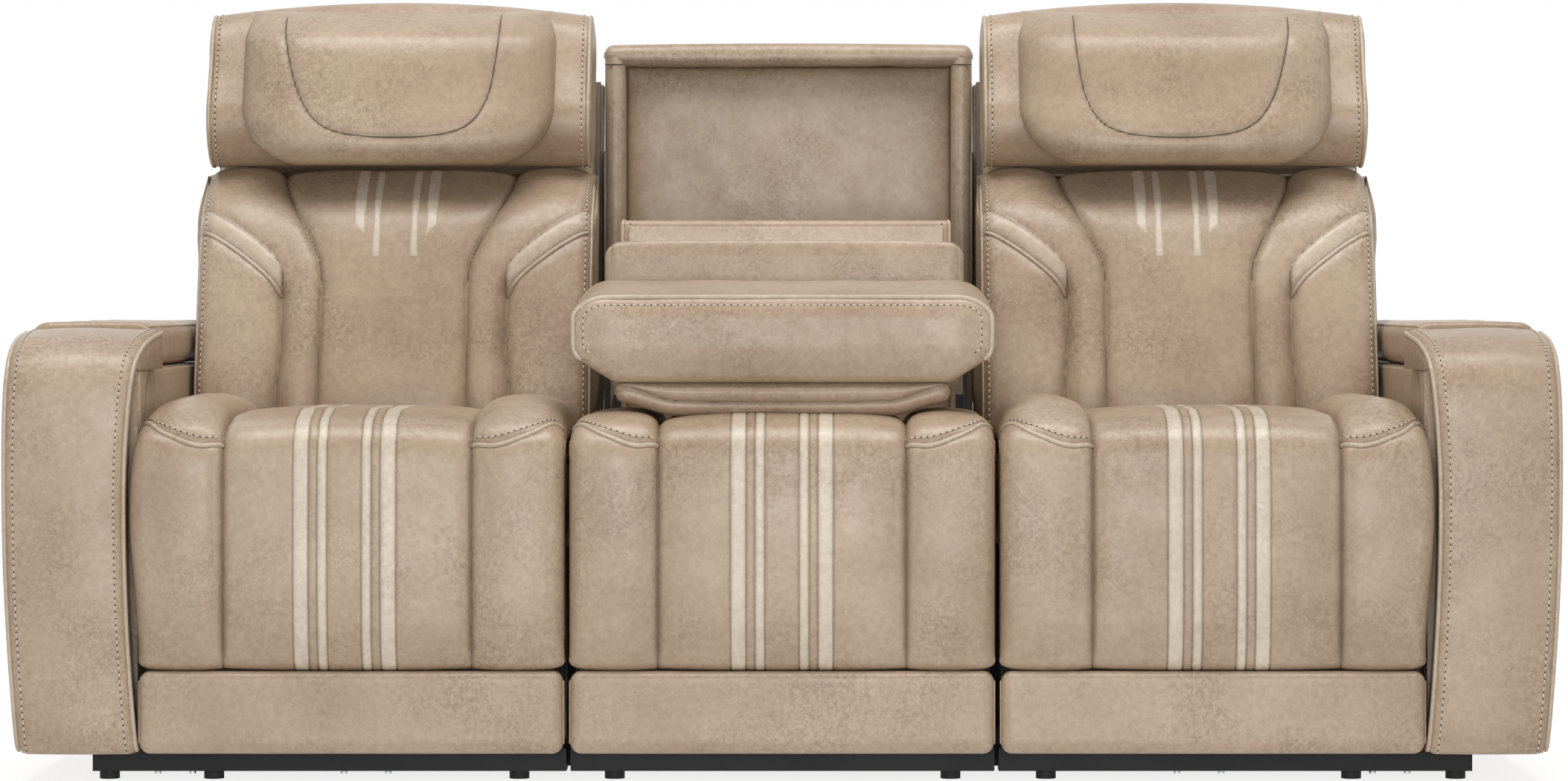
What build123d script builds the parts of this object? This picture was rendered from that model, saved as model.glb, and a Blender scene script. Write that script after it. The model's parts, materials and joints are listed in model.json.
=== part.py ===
"""Power reclining sofa with three seats and a centre back that folds down as a table.

Millimetres. X runs along the sofa, the front faces -Y, Z is up and the origin lies on the floor under
the middle of the sofa. It stands as shown in use: outer backs up, centre back folded down.
"""

import os
from math import cos, radians, sin, sqrt, tan

from build123d import *

os.makedirs("parts", exist_ok=True)

# Overall
ARM_WIDTH = 190.5
DEPTH = 984.0

# Clearances
RUNNING = 0.05
PLATE_PLAY = 2.0
SOFT_GAP = 3.0
BODY_GAP = 4.0

# Feet, rails and bolts
FOOT_RADIUS = 14.5
FOOT_HEIGHT = 12.0
CENTER_FOOT_INSET = 63.0
INNER_FOOT_INSET = 69.0
OUTER_FEET_INSETS = (173.0, 22.0)
RAIL_TOP = 45.0
RAIL_WIDTH = 40.0
RAIL_SETBACK = 60.0
REAR_RAIL_SETBACK = 107.0
RAIL_UNDER_ARM = 69.0
RAIL_GAP = 6.0
INNER_BOLT_INSETS = (259.0, 323.0)
OUTER_BOLT_INSETS = (142.0, 92.0)
BOLT_RADIUS = 5.0
BOLT_DROP = 5.0
REAR_PANEL_THICK = 10.0
REAR_PANEL_BOTTOM = 20.0
REAR_PANEL_TOP = 298.0

# Seat frame
FRAME_HALF = 301.0
FRAME_SIDE_GAP = 8.0
FRAME_THICK = 18.0
FRAME_BOTTOM = 330.0
FRAME_TOP = 440.0
FRAME_FRONT_SETBACK = 98.0
FRAME_REAR_SETBACK = 432.0
CROSS_MEMBER_HEIGHT = 38.0
REAR_MEMBER_HEIGHT = 80.0
UPRIGHT_WIDTH = 50.0

# Footrest
NOSE_RADIUS = 45.0
GROOVE_DEPTH = 7.0
HINGE_HEIGHT = 470.0
HINGE_ROD_RADIUS = 8.0
EAR_RADIUS = 20.0
EAR_THICK = 6.0
FOOTREST_INSET = 3.0
CHANNEL_SEAM = 178.0
WATERFALL_BOTTOM = 163.0
LOWER_PAD_TOP = 160.0
LOWER_PAD_BOTTOM = 41.0
PAD_THICK = 37.0
BOARD_THICK = 18.0
BOARD_INSET = 8.0
BOARD_TOP = 425.0
BOARD_BOTTOM = 60.0
FOOTREST_TRAVEL = 88.0

# Footrest drive
PIN_BACK = 55.0
PIN_DROP = 150.0
PIN_RADIUS = 6.0
SHAFT_BACK = 240.0
SHAFT_DROP = 70.0
SHAFT_RADIUS = 10.0
CRANK_INSET = 36.0
CRANK_THICK = 6.0
CRANK_HALF_WIDTH = 12.0
LINK_THICK = 8.0
LINK_HALF_WIDTH = 11.0
LEVER_LENGTH = 90.0
LEVER_THICK = 6.0
LEVER_HALF_WIDTH = 10.0
LEVER_PIN_RADIUS = 5.0
YOKE_THICK = 10.0
YOKE_WIDTH = 36.0
YOKE_HEIGHT = 60.0
YOKE_SLOT_WIDTH = 16.0
YOKE_SLOT_HEIGHT = 42.0
ROD_RADIUS = 9.0
TUBE_RADIUS = 16.0
TUBE_GAP = 16.0
TUBE_LENGTH = 175.0
ROD_ENGAGED = 165.0
MOTOR_WIDTH = 60.0
MOTOR_LENGTH = 67.0
MOTOR_RISE = 32.0
MOTOR_DROP = 61.0
CROSS_TUBE_RADIUS = 12.0
CROSS_TUBE_BACK = 18.0
LUG_THICK = 24.0
LUG_RADIUS = 20.0

# Seat cushion
CUSHION_OVERHANG = 1.0
CUSHION_BULGE = 3.0
CUSHION_REAR_SETBACK = 452.0
SEAT_CROWN = 526.0
SEAT_GROOVE = 519.0
BOLSTER_CROWN = 546.0
BOLSTER_EDGE = 518.0
TABLE_SEAT_CROWN = 519.0
SEAT_REAR_DROP = 14.0

# Recline pivot and outer backs
PIVOT_SETBACK = 357.0
PIVOT_HEIGHT = 405.0
PIVOT_RADIUS = 8.0
PIVOT_HEAD = 22.0
BACK_ARM_INSET = 31.0
BACK_ARM_THICK = 12.0
BACK_SHIFT = 7.0
BACK_OVERHANG = 6.0
BACK_BOTTOM = 445.0
BACK_TOP = 893.0
BACK_LEAN = 17.0
BACK_REAR_START = 43.0
BACK_THICK = 128.0
BACK_FOOT_THICK = 104.0
BACK_HEAD_THICK = 88.0
PANEL_SEAM = 115.0
SIDE_SEAM = 180.0
WING_SEAM = 180.0
SHELL_BOTTOM = 305.0
SHELL_ABOVE_HEAD = 70.0
SHELL_THICK = 28.0
SHELL_BOTTOM_SETBACK = 114.0
SHELL_TOP_SETBACK = 42.0

# Headrests
HEAD_FORWARD = 52.0
HEAD_LIFT = 10.0
HEAD_RADIUS = 72.0
HEAD_TOP_RADIUS = 56.0
HEAD_LENGTH = 124.0
HEAD_ROD_RADIUS = 8.0
HEAD_ROD_HALF = 262.0
HEAD_POST_INNER = 240.0
HEAD_POST_THICK = 10.0
HEAD_POST_RADIUS = 16.0
HEAD_BOARD_HALF = 220.0
HEAD_BOARD_THICK = 12.0
HEAD_BOARD_LENGTH = 110.0
HEAD_PAD_HALF = 244.0
HEAD_PAD_FOOT_HALF = 185.0
HEAD_PAD_THICK = 46.0
HEAD_PAD_DROP = 39.0
HEAD_PAD_RISE = 151.0

# Centre back
CENTER_SHELL_INSET = 8.0
CENTER_SHELL_WALL = 34.0
CENTER_SHELL_TOP = 1105.0
CENTER_SHELL_BOTTOM = 440.0
CENTER_SHELL_DEPTH = 75.0
CENTER_PANEL_THICK = 26.0
CENTER_CORNER = 14.0
VALANCE_SETBACK = 37.0
VALANCE_THICK = 14.0
VALANCE_BOTTOM = 310.0
TABLE_ARM_THICK = 6.0

# Table (the folded centre back)
TABLE_HINGE_SETBACK = 349.0
TABLE_HINGE_HEIGHT = 600.0
TABLE_PIN_RADIUS = 8.0
TABLE_HEAD_RADIUS = 18.0
TABLE_LUG_THICK = 12.0
TABLE_FRONT_SETBACK = 60.0
TABLE_BOARD_BOTTOM = 636.0
TABLE_BOARD_THICK = 18.0
TABLE_BOARD_HALF = 255.0
TABLE_UNDERSIDE = 556.0
ROLL_LENGTH = 245.0
ROLL_HALF = 298.0
ROLL_BOTTOM = 573.0
ROLL_TOP = 723.0
ROLL_CORNER = 38.0
SLAB_END_SAG = 1.0
RISER_LENGTH = 100.0
STEP_HALF = 268.0
STEP_TOP = 777.0
RISER_HALF = 254.0
RISER_TOP = 815.0
TABLE_PAD_HALF = 241.0
TABLE_PAD_BOTTOM = 523.0
CUP_SPACING = 150.0
CUP_RADIUS = 42.5
CUP_DEPTH = 65.0
CUP_WALL = 2.0
CUP_FLANGE = 8.0
CUP_FLANGE_HEIGHT = 3.0

# Arms
ARM_INNER_GAP = 3.0
ARM_BOTTOM = 39.0
ARM_BODY_TOP = 592.0
ARM_TAPER = 20.0
ARM_WIDEST = 450.0
ARM_FRONT_SETBACK = 8.0
ARM_FRONT_THICK = 44.0
ARM_FRONT_TOP = 653.0
ARM_FRONT_SOFTEN = 10.0
ARM_REAR_SETBACK = 112.0
ARM_HUMP_LENGTH = 148.0
BIN_WALL = 22.0
BIN_FLOOR = 400.0
BIN_END_WALL = 30.0
LID_GAP = 2.0
LID_TOP = 660.0
LID_HINGE_INSET = 17.5
LID_HINGE_RADIUS = 12.0
LID_ROD_RADIUS = 4.0
LID_POST_LENGTH = 30.0
LID_POST_SHARES = (0.15, 0.5, 0.85)
LID_POST_HALF = 8.0
LID_POST_PLAY = 2.0
LID_END_INSET = 8.0

# Switches and supply
SWITCH_HEIGHT = 505.0
SWITCH_BACK = 150.0
SWITCH_PLATE_LENGTH = 96.0
SWITCH_PLATE_HEIGHT = 46.0
SWITCH_POCKET = 17.0
SWITCH_RECESS = 3.0
ROCKER_LENGTH = 34.0
ROCKER_HEIGHT = 24.0
ROCKER_SPACING = 22.0
ROCKER_DEPTH = 11.0
ROCKER_PIN_RADIUS = 2.0
ROCKER_PIN_LENGTH = 3.0
ROCKER_PLAY = 2.0
SUPPLY_WIDTH = 150.0
SUPPLY_LENGTH = 70.0
SUPPLY_HEIGHT = 55.0
INLET_WIDTH = 20.0
INLET_HEIGHT = 12.0
INLET_DEPTH = 12.0

# Positions that follow from the sizes
SECTION_PITCH = 2 * (FRAME_HALF + FRAME_SIDE_GAP)
FOOTREST_HALF = FRAME_HALF - FOOTREST_INSET
BOARD_HALF = FOOTREST_HALF - BOARD_INSET
CRANK_INNER = FRAME_HALF - CRANK_INSET
CUSHION_HALF = FRAME_HALF + CUSHION_OVERHANG
BACK_ARM_INNER = FRAME_HALF - BACK_ARM_INSET
BACK_CENTER = SECTION_PITCH - BACK_SHIFT
BACK_HALF = FRAME_HALF + BACK_OVERHANG
HEAD_HALF = BACK_HALF - SOFT_GAP
CENTER_SHELL_HALF = FRAME_HALF - CENTER_SHELL_INSET
TABLE_ARM_INNER = BACK_ARM_INNER + BACK_ARM_THICK / 2
FRONT = -DEPTH / 2
REAR = DEPTH / 2
SECTIONS = {"left": -SECTION_PITCH, "center": 0.0, "right": SECTION_PITCH}
SIDES = {"left": -1, "right": 1}
HALF_WIDTH = 1.5 * SECTION_PITCH + ARM_WIDTH

RAIL_FRONT = FRONT + RAIL_SETBACK
REAR_RAIL = REAR - REAR_RAIL_SETBACK - RAIL_WIDTH
RAIL_REACH = 1.5 * SECTION_PITCH + RAIL_UNDER_ARM
RAIL_INNER = (SECTION_PITCH + RAIL_GAP) / 2
RAIL_CENTER = (SECTION_PITCH - RAIL_GAP) / 2
FOOT_SPOTS = [RAIL_CENTER - CENTER_FOOT_INSET, RAIL_INNER + INNER_FOOT_INSET]
FOOT_SPOTS += [RAIL_REACH - inset for inset in OUTER_FEET_INSETS]
BOLT_SPOTS = [RAIL_INNER + inset for inset in INNER_BOLT_INSETS]
BOLT_SPOTS += [RAIL_REACH - inset for inset in OUTER_BOLT_INSETS]
RAIL_ENDS = {
    "left": (-RAIL_REACH, -RAIL_INNER),
    "center": (-RAIL_CENTER, RAIL_CENTER),
    "right": (RAIL_INNER, RAIL_REACH),
}
FRAME_FRONT = FRONT + FRAME_FRONT_SETBACK
FRAME_REAR = REAR - FRAME_REAR_SETBACK
FRAME_INNER = FRAME_HALF - FRAME_THICK

HINGE_Y = FRONT + NOSE_RADIUS
EAR_INNER = FOOTREST_HALF + PLATE_PLAY
BOARD_FRONT = FRONT + PAD_THICK
BOARD_REAR = BOARD_FRONT + BOARD_THICK
SHAFT_Y = HINGE_Y + SHAFT_BACK
SHAFT_Z = HINGE_HEIGHT - SHAFT_DROP
FOOT_PIN_Y = HINGE_Y + PIN_BACK
FOOT_PIN_Z = HINGE_HEIGHT - PIN_DROP
CRANK_PIN_Y = SHAFT_Y + PIN_BACK
CRANK_PIN_Z = SHAFT_Z - PIN_DROP
LINK_INNER = CRANK_INNER + CRANK_THICK + PLATE_PLAY
LINK_OUTER = LINK_INNER + LINK_THICK

LEVER_SWING = radians(FOOTREST_TRAVEL / 2)
LEVER_Y = SHAFT_Y + LEVER_LENGTH * sin(LEVER_SWING)
LEVER_Z = SHAFT_Z - LEVER_LENGTH * cos(LEVER_SWING)
ROD_Z = SHAFT_Z - LEVER_LENGTH * (1 + cos(LEVER_SWING)) / 2
YOKE_REAR = LEVER_Y + YOKE_WIDTH / 2
TUBE_FRONT = YOKE_REAR + TUBE_GAP
MOTOR_FRONT = TUBE_FRONT + TUBE_LENGTH
MOTOR_REAR = MOTOR_FRONT + MOTOR_LENGTH
CROSS_TUBE_Y = MOTOR_REAR + CROSS_TUBE_BACK

PIVOT_Y = REAR - PIVOT_SETBACK
HEAD_PIVOT_HEIGHT = BACK_TOP + HEAD_RADIUS + HEAD_LIFT
HEAD_PAD_BOTTOM = HEAD_PIVOT_HEIGHT - HEAD_PAD_DROP
HEAD_PAD_TOP = HEAD_PIVOT_HEIGHT + HEAD_PAD_RISE
SHELL_TOP = HEAD_PIVOT_HEIGHT + SHELL_ABOVE_HEAD
SHELL_BOTTOM_Y = REAR - SHELL_BOTTOM_SETBACK
SHELL_TOP_Y = REAR - SHELL_TOP_SETBACK
SHELL_FRONT = REAR - CENTER_SHELL_DEPTH
TABLE_Y = REAR - TABLE_HINGE_SETBACK
TABLE_FRONT = FRONT + TABLE_FRONT_SETBACK
ROLL_REAR = TABLE_FRONT + ROLL_LENGTH
STEP_REAR = TABLE_Y - RISER_LENGTH
TABLE_BOARD_TOP = TABLE_BOARD_BOTTOM + TABLE_BOARD_THICK
TABLE_LUG_INNER = TABLE_ARM_INNER - PLATE_PLAY - TABLE_LUG_THICK

ARM_INNER = 1.5 * SECTION_PITCH + ARM_INNER_GAP
ARM_FRONT = FRONT + ARM_FRONT_SETBACK
ARM_BODY_FRONT = ARM_FRONT + ARM_FRONT_THICK
ARM_REAR = REAR - ARM_REAR_SETBACK
LID_FRONT = ARM_BODY_FRONT + ARM_HUMP_LENGTH + BODY_GAP
LID_REAR = ARM_REAR - LID_END_INSET
LID_BOTTOM = ARM_BODY_TOP + LID_GAP
LID_POSTS = [LID_FRONT + (LID_REAR - LID_FRONT) * share for share in LID_POST_SHARES]
LID_HINGE_X = HALF_WIDTH - LID_HINGE_INSET
LID_HINGE_Z = LID_BOTTOM + LID_HINGE_RADIUS
SWITCH_Y = ARM_BODY_FRONT + SWITCH_BACK
SWITCH_FACE = HALF_WIDTH - SWITCH_RECESS


def side_plane(x):
    """Plane at X = x with local axes Y and Z."""
    return Plane(origin=(x, 0, 0), x_dir=(0, 1, 0), z_dir=(1, 0, 0))


def front_plane(y):
    """Plane at Y = y with local axes X and Z, facing the front."""
    return Plane(origin=(0, y, 0), x_dir=(1, 0, 0), z_dir=(0, -1, 0))


def level(z):
    """Plane at Z = z with local axes X and Y."""
    return Plane.XY.offset(z)


def polygon(plane, *points):
    with BuildSketch(plane) as sketch:
        with BuildLine():
            Polyline(*points, close=True)
        make_face()
    return sketch.sketch


def rectangle(plane, u_low, v_low, u_high, v_high):
    return polygon(plane, (u_low, v_low), (u_high, v_low), (u_high, v_high), (u_low, v_high))


def disc(plane, u, v, radius):
    with BuildSketch(plane) as sketch:
        with Locations((u, v)):
            Circle(radius)
    return sketch.sketch


def capsule(plane, start, end, radius, end_radius=None):
    """Two discs and the straight flanks that join them."""
    with BuildSketch(plane) as sketch:
        with Locations(start):
            Circle(radius)
        with Locations(end):
            Circle(end_radius or radius)
        make_hull()
    return sketch.sketch


def both_sides(center, inner, outer):
    """Where a plate between two distances from the middle starts, on each side."""
    return (center + inner, center - outer)


def save(builder, name):
    builder.part.label = name
    export_step(builder.part, f"parts/{name}.step")


# Welded base frames, tied together between the sections
with BuildPart() as base_frames:
    for name, center in SECTIONS.items():
        low, high = RAIL_ENDS[name]
        for rail_y in (RAIL_FRONT, REAR_RAIL):
            rail = rectangle(level(FOOT_HEIGHT), low, rail_y, high, rail_y + RAIL_WIDTH)
            extrude(rail, amount=RAIL_TOP - FOOT_HEIGHT)
        for start in both_sides(center, FRAME_INNER, FRAME_HALF):
            plane = side_plane(start)
            rail = rectangle(plane, RAIL_FRONT, FOOT_HEIGHT, REAR_RAIL + RAIL_WIDTH, RAIL_TOP)
            extrude(rail, amount=FRAME_THICK)
            front_post = rectangle(plane, FRAME_FRONT, FOOT_HEIGHT, FRAME_FRONT + UPRIGHT_WIDTH, FRAME_BOTTOM)
            extrude(front_post, amount=FRAME_THICK)
            mid_post = rectangle(plane, FRAME_REAR - UPRIGHT_WIDTH, FOOT_HEIGHT, FRAME_REAR, FRAME_BOTTOM)
            extrude(mid_post, amount=FRAME_THICK)
            pivot_post = rectangle(
                plane, PIVOT_Y - PIVOT_HEAD, FOOT_HEIGHT, PIVOT_Y + PIVOT_HEAD, PIVOT_HEIGHT
            )
            extrude(pivot_post, amount=FRAME_THICK)
            extrude(disc(plane, PIVOT_Y, PIVOT_HEIGHT, PIVOT_HEAD), amount=FRAME_THICK)
        stud_tip = BACK_ARM_INNER - PLATE_PLAY
        for start in both_sides(center, stud_tip, FRAME_HALF):
            stud = disc(side_plane(start), PIVOT_Y, PIVOT_HEIGHT, PIVOT_RADIUS)
            extrude(stud, amount=FRAME_HALF - stud_tip)
        cross_tube = disc(side_plane(center - FRAME_HALF), CROSS_TUBE_Y, ROD_Z, CROSS_TUBE_RADIUS)
        extrude(cross_tube, amount=2 * FRAME_HALF)
    tie_half = SECTION_PITCH / 2 - FRAME_HALF
    for side in SIDES.values():
        joint_x = side * SECTION_PITCH / 2
        for tie_y in (RAIL_FRONT + 2 * RAIL_WIDTH, REAR_RAIL - 2 * RAIL_WIDTH):
            section_tie = rectangle(
                level(FOOT_HEIGHT), joint_x - tie_half, tie_y, joint_x + tie_half, tie_y + RAIL_WIDTH
            )
            extrude(section_tie, amount=RAIL_TOP - FOOT_HEIGHT)
save(base_frames, "base_frames")

# Lower rear panels on the rear rails
with BuildPart() as rear_panels:
    for low, high in RAIL_ENDS.values():
        panel_y = REAR_RAIL + RAIL_WIDTH + REAR_PANEL_THICK
        panel = rectangle(front_plane(panel_y), low, REAR_PANEL_BOTTOM, high, REAR_PANEL_TOP)
        extrude(panel, amount=REAR_PANEL_THICK)
save(rear_panels, "rear_panels")

# Feet, front and rear
with BuildPart() as feet:
    for rail_y in (RAIL_FRONT, REAR_RAIL):
        for spot in FOOT_SPOTS:
            for side in SIDES.values():
                extrude(disc(level(0), side * spot, rail_y + RAIL_WIDTH / 2, FOOT_RADIUS), amount=FOOT_HEIGHT)
save(feet, "feet")

# Bolt heads under the front rails
with BuildPart() as base_bolts:
    for spot in BOLT_SPOTS:
        for side in SIDES.values():
            head = disc(level(FOOT_HEIGHT - BOLT_DROP), side * spot, RAIL_FRONT + RAIL_WIDTH / 2, BOLT_RADIUS)
            extrude(head, amount=BOLT_DROP)
save(base_bolts, "base_bolts")

# Seat frames: a box of boards with an ear each side for the footrest hinge and bores for the drive shaft
for name, center in SECTIONS.items():
    with BuildPart() as seat_frame:
        for start in both_sides(center, FRAME_INNER, FRAME_HALF):
            member = rectangle(side_plane(start), FRAME_FRONT, FRAME_BOTTOM, FRAME_REAR, FRAME_TOP)
            extrude(member, amount=FRAME_THICK)
        front_member = rectangle(
            level(FRAME_TOP - CROSS_MEMBER_HEIGHT),
            center - FRAME_HALF, FRAME_FRONT, center + FRAME_HALF, FRAME_FRONT + FRAME_THICK,
        )
        extrude(front_member, amount=CROSS_MEMBER_HEIGHT)
        rear_member = rectangle(
            level(FRAME_TOP - REAR_MEMBER_HEIGHT),
            center - FRAME_HALF, FRAME_REAR - FRAME_THICK, center + FRAME_HALF, FRAME_REAR,
        )
        extrude(rear_member, amount=REAR_MEMBER_HEIGHT)
        for start in both_sides(center, EAR_INNER, EAR_INNER + EAR_THICK):
            plane = side_plane(start)
            extrude(disc(plane, HINGE_Y, HINGE_HEIGHT, EAR_RADIUS), amount=EAR_THICK)
            neck = polygon(
                plane,
                (HINGE_Y - EAR_RADIUS, HINGE_HEIGHT),
                (HINGE_Y + EAR_RADIUS, HINGE_HEIGHT),
                (HINGE_Y + EAR_RADIUS, FRAME_TOP - PLATE_PLAY),
                (FRAME_FRONT + UPRIGHT_WIDTH, FRAME_TOP - PLATE_PLAY),
                (FRAME_FRONT + UPRIGHT_WIDTH, FRAME_TOP - CROSS_MEMBER_HEIGHT),
                (HINGE_Y, FRAME_TOP - CROSS_MEMBER_HEIGHT),
            )
            extrude(neck, amount=EAR_THICK)
        reach = EAR_INNER + EAR_THICK
        hinge_bore = disc(side_plane(center - reach), HINGE_Y, HINGE_HEIGHT, HINGE_ROD_RADIUS + RUNNING)
        extrude(hinge_bore, amount=2 * reach, mode=Mode.SUBTRACT)
        shaft_bore = disc(side_plane(center - reach), SHAFT_Y, SHAFT_Z, SHAFT_RADIUS + RUNNING)
        extrude(shaft_bore, amount=2 * reach, mode=Mode.SUBTRACT)
    save(seat_frame, f"{name}_seat_frame")


def seat_section(y, center, groove, crown, bolster, edge):
    """Cross-section of a seat cushion: a crowned main panel between two crowned bolsters."""
    seam = CHANNEL_SEAM
    half = CUSHION_HALF
    middle = (FRAME_TOP + edge) / 2
    with BuildSketch(front_plane(y)) as sketch:
        with BuildLine():
            Line((center - half, FRAME_TOP), (center + half, FRAME_TOP))
            ThreePointArc(
                (center + half, FRAME_TOP), (center + half + CUSHION_BULGE, middle), (center + half, edge)
            )
            ThreePointArc(
                (center + half, edge), (center + (half + seam) / 2, bolster), (center + seam, groove)
            )
            ThreePointArc((center + seam, groove), (center, crown), (center - seam, groove))
            ThreePointArc(
                (center - seam, groove), (center - (half + seam) / 2, bolster), (center - half, edge)
            )
            ThreePointArc(
                (center - half, edge), (center - half - CUSHION_BULGE, middle), (center - half, FRAME_TOP)
            )
        make_face()
    return sketch.sketch.face()


# Seat cushions, crowned, with a round hollow in front where the footrest nose turns
for name, center in SECTIONS.items():
    lid_over = name == "center"
    crown = TABLE_SEAT_CROWN if lid_over else SEAT_CROWN
    groove = crown - GROOVE_DEPTH if lid_over else SEAT_GROOVE
    bolster = TABLE_SEAT_CROWN if lid_over else BOLSTER_CROWN
    edge = groove - GROOVE_DEPTH if lid_over else BOLSTER_EDGE
    cushion_rear = REAR - CUSHION_REAR_SETBACK
    cushion_middle = (HINGE_Y + cushion_rear) / 2
    with BuildPart() as seat_cushion:
        loft([
            seat_section(
                HINGE_Y, center, groove - GROOVE_DEPTH, crown - GROOVE_DEPTH, crown, edge - GROOVE_DEPTH
            ),
            seat_section(FRAME_FRONT, center, groove, crown, bolster, edge),
            seat_section(cushion_middle, center, groove, crown, bolster, edge),
            seat_section(
                cushion_rear, center, groove - SEAT_REAR_DROP, crown - SEAT_REAR_DROP,
                bolster - SEAT_REAR_DROP, edge - SEAT_REAR_DROP,
            ),
        ])
        reach = CUSHION_HALF + CUSHION_BULGE + SOFT_GAP
        nose_room = disc(side_plane(center - reach), HINGE_Y, HINGE_HEIGHT, NOSE_RADIUS + SOFT_GAP)
        extrude(nose_room, amount=2 * reach, mode=Mode.SUBTRACT)
    save(seat_cushion, f"{name}_seat_cushion")


def pad_section(plane, center, back, groove, crown, direction):
    """Channelled pad outline: straight back, three crowned channels facing along direction."""
    half = FOOTREST_HALF
    seam = CHANNEL_SEAM
    side = back + direction * groove
    top = back + direction * crown
    with BuildSketch(plane) as sketch:
        with BuildLine():
            Line((center - half, back), (center + half, back))
            Line((center + half, back), (center + half, side))
            ThreePointArc((center + half, side), (center + (half + seam) / 2, top), (center + seam, side))
            ThreePointArc((center + seam, side), (center, top), (center - seam, side))
            ThreePointArc((center - seam, side), (center - (half + seam) / 2, top), (center - half, side))
            Line((center - half, side), (center - half, back))
        make_face()
    return sketch.sketch.face()


def lower_section(z, center, thick, crown):
    """Lower footrest pad outline: straight back, one crowned front."""
    half = FOOTREST_HALF - (crown - thick) / 2
    with BuildSketch(level(z)) as sketch:
        with BuildLine():
            Line((center - half, BOARD_FRONT), (center + half, BOARD_FRONT))
            Line((center + half, BOARD_FRONT), (center + half, BOARD_FRONT - thick))
            ThreePointArc(
                (center + half, BOARD_FRONT - thick), (center, BOARD_FRONT - crown),
                (center - half, BOARD_FRONT - thick),
            )
            Line((center - half, BOARD_FRONT - thick), (center - half, BOARD_FRONT))
        make_face()
    return sketch.sketch.face()


# Footrests: steel frame with hinge rod and board, waterfall pad, lower pad
for name, center in SECTIONS.items():
    with BuildPart() as footrest_frame:
        reach = EAR_INNER + EAR_THICK
        rod = disc(side_plane(center - reach), HINGE_Y, HINGE_HEIGHT, HINGE_ROD_RADIUS)
        extrude(rod, amount=2 * reach)
        board = rectangle(side_plane(center - BOARD_HALF), BOARD_FRONT, BOARD_BOTTOM, BOARD_REAR, BOARD_TOP)
        extrude(board, amount=2 * BOARD_HALF)
        for start in both_sides(center, CRANK_INNER, CRANK_INNER + CRANK_THICK):
            plane = side_plane(start)
            hanger = polygon(
                plane,
                (BOARD_FRONT, HINGE_HEIGHT),
                (BOARD_REAR, HINGE_HEIGHT + CRANK_HALF_WIDTH),
                (BOARD_REAR + CRANK_HALF_WIDTH, HINGE_HEIGHT),
                (FOOT_PIN_Y, FOOT_PIN_Z),
                (BOARD_REAR, FOOT_PIN_Z - PIN_BACK),
                (BOARD_FRONT, FOOT_PIN_Z - PIN_BACK),
            )
            extrude(hanger, amount=CRANK_THICK)
            extrude(disc(plane, FOOT_PIN_Y, FOOT_PIN_Z, CRANK_HALF_WIDTH), amount=CRANK_THICK)
        for start in both_sides(center, CRANK_INNER, LINK_OUTER):
            pin = disc(side_plane(start), FOOT_PIN_Y, FOOT_PIN_Z, PIN_RADIUS)
            extrude(pin, amount=LINK_OUTER - CRANK_INNER)
    save(footrest_frame, f"{name}_footrest_frame")

    with BuildPart() as footrest_pad:
        groove = NOSE_RADIUS - GROOVE_DEPTH
        nose = pad_section(front_plane(HINGE_Y), center, HINGE_HEIGHT, groove, NOSE_RADIUS, 1)
        revolve(nose, axis=Axis((0, HINGE_Y, HINGE_HEIGHT), (1, 0, 0)))
        front = groove + PAD_THICK - NOSE_RADIUS
        fall_middle = (HINGE_HEIGHT + WATERFALL_BOTTOM) / 2
        loft([
            pad_section(level(HINGE_HEIGHT), center, BOARD_FRONT, front, PAD_THICK, -1),
            pad_section(level(fall_middle), center, BOARD_FRONT, front, PAD_THICK, -1),
            pad_section(
                level(WATERFALL_BOTTOM), center, BOARD_FRONT,
                front - GROOVE_DEPTH, PAD_THICK - GROOVE_DEPTH, -1,
            ),
        ])
        add(footrest_frame.part, mode=Mode.SUBTRACT)
    save(footrest_pad, f"{name}_footrest_pad")

    with BuildPart() as footrest_lower_pad:
        soft = 2 * GROOVE_DEPTH
        crown = PAD_THICK - PLATE_PLAY
        loft([
            lower_section(LOWER_PAD_BOTTOM, center, crown - 2 * soft, crown - soft),
            lower_section(LOWER_PAD_BOTTOM + soft, center, crown - GROOVE_DEPTH, crown),
            lower_section(LOWER_PAD_TOP - soft, center, crown - GROOVE_DEPTH, crown),
            lower_section(LOWER_PAD_TOP, center, crown - 2 * soft, crown - soft),
        ], ruled=True)
    save(footrest_lower_pad, f"{name}_footrest_lower_pad")

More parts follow.
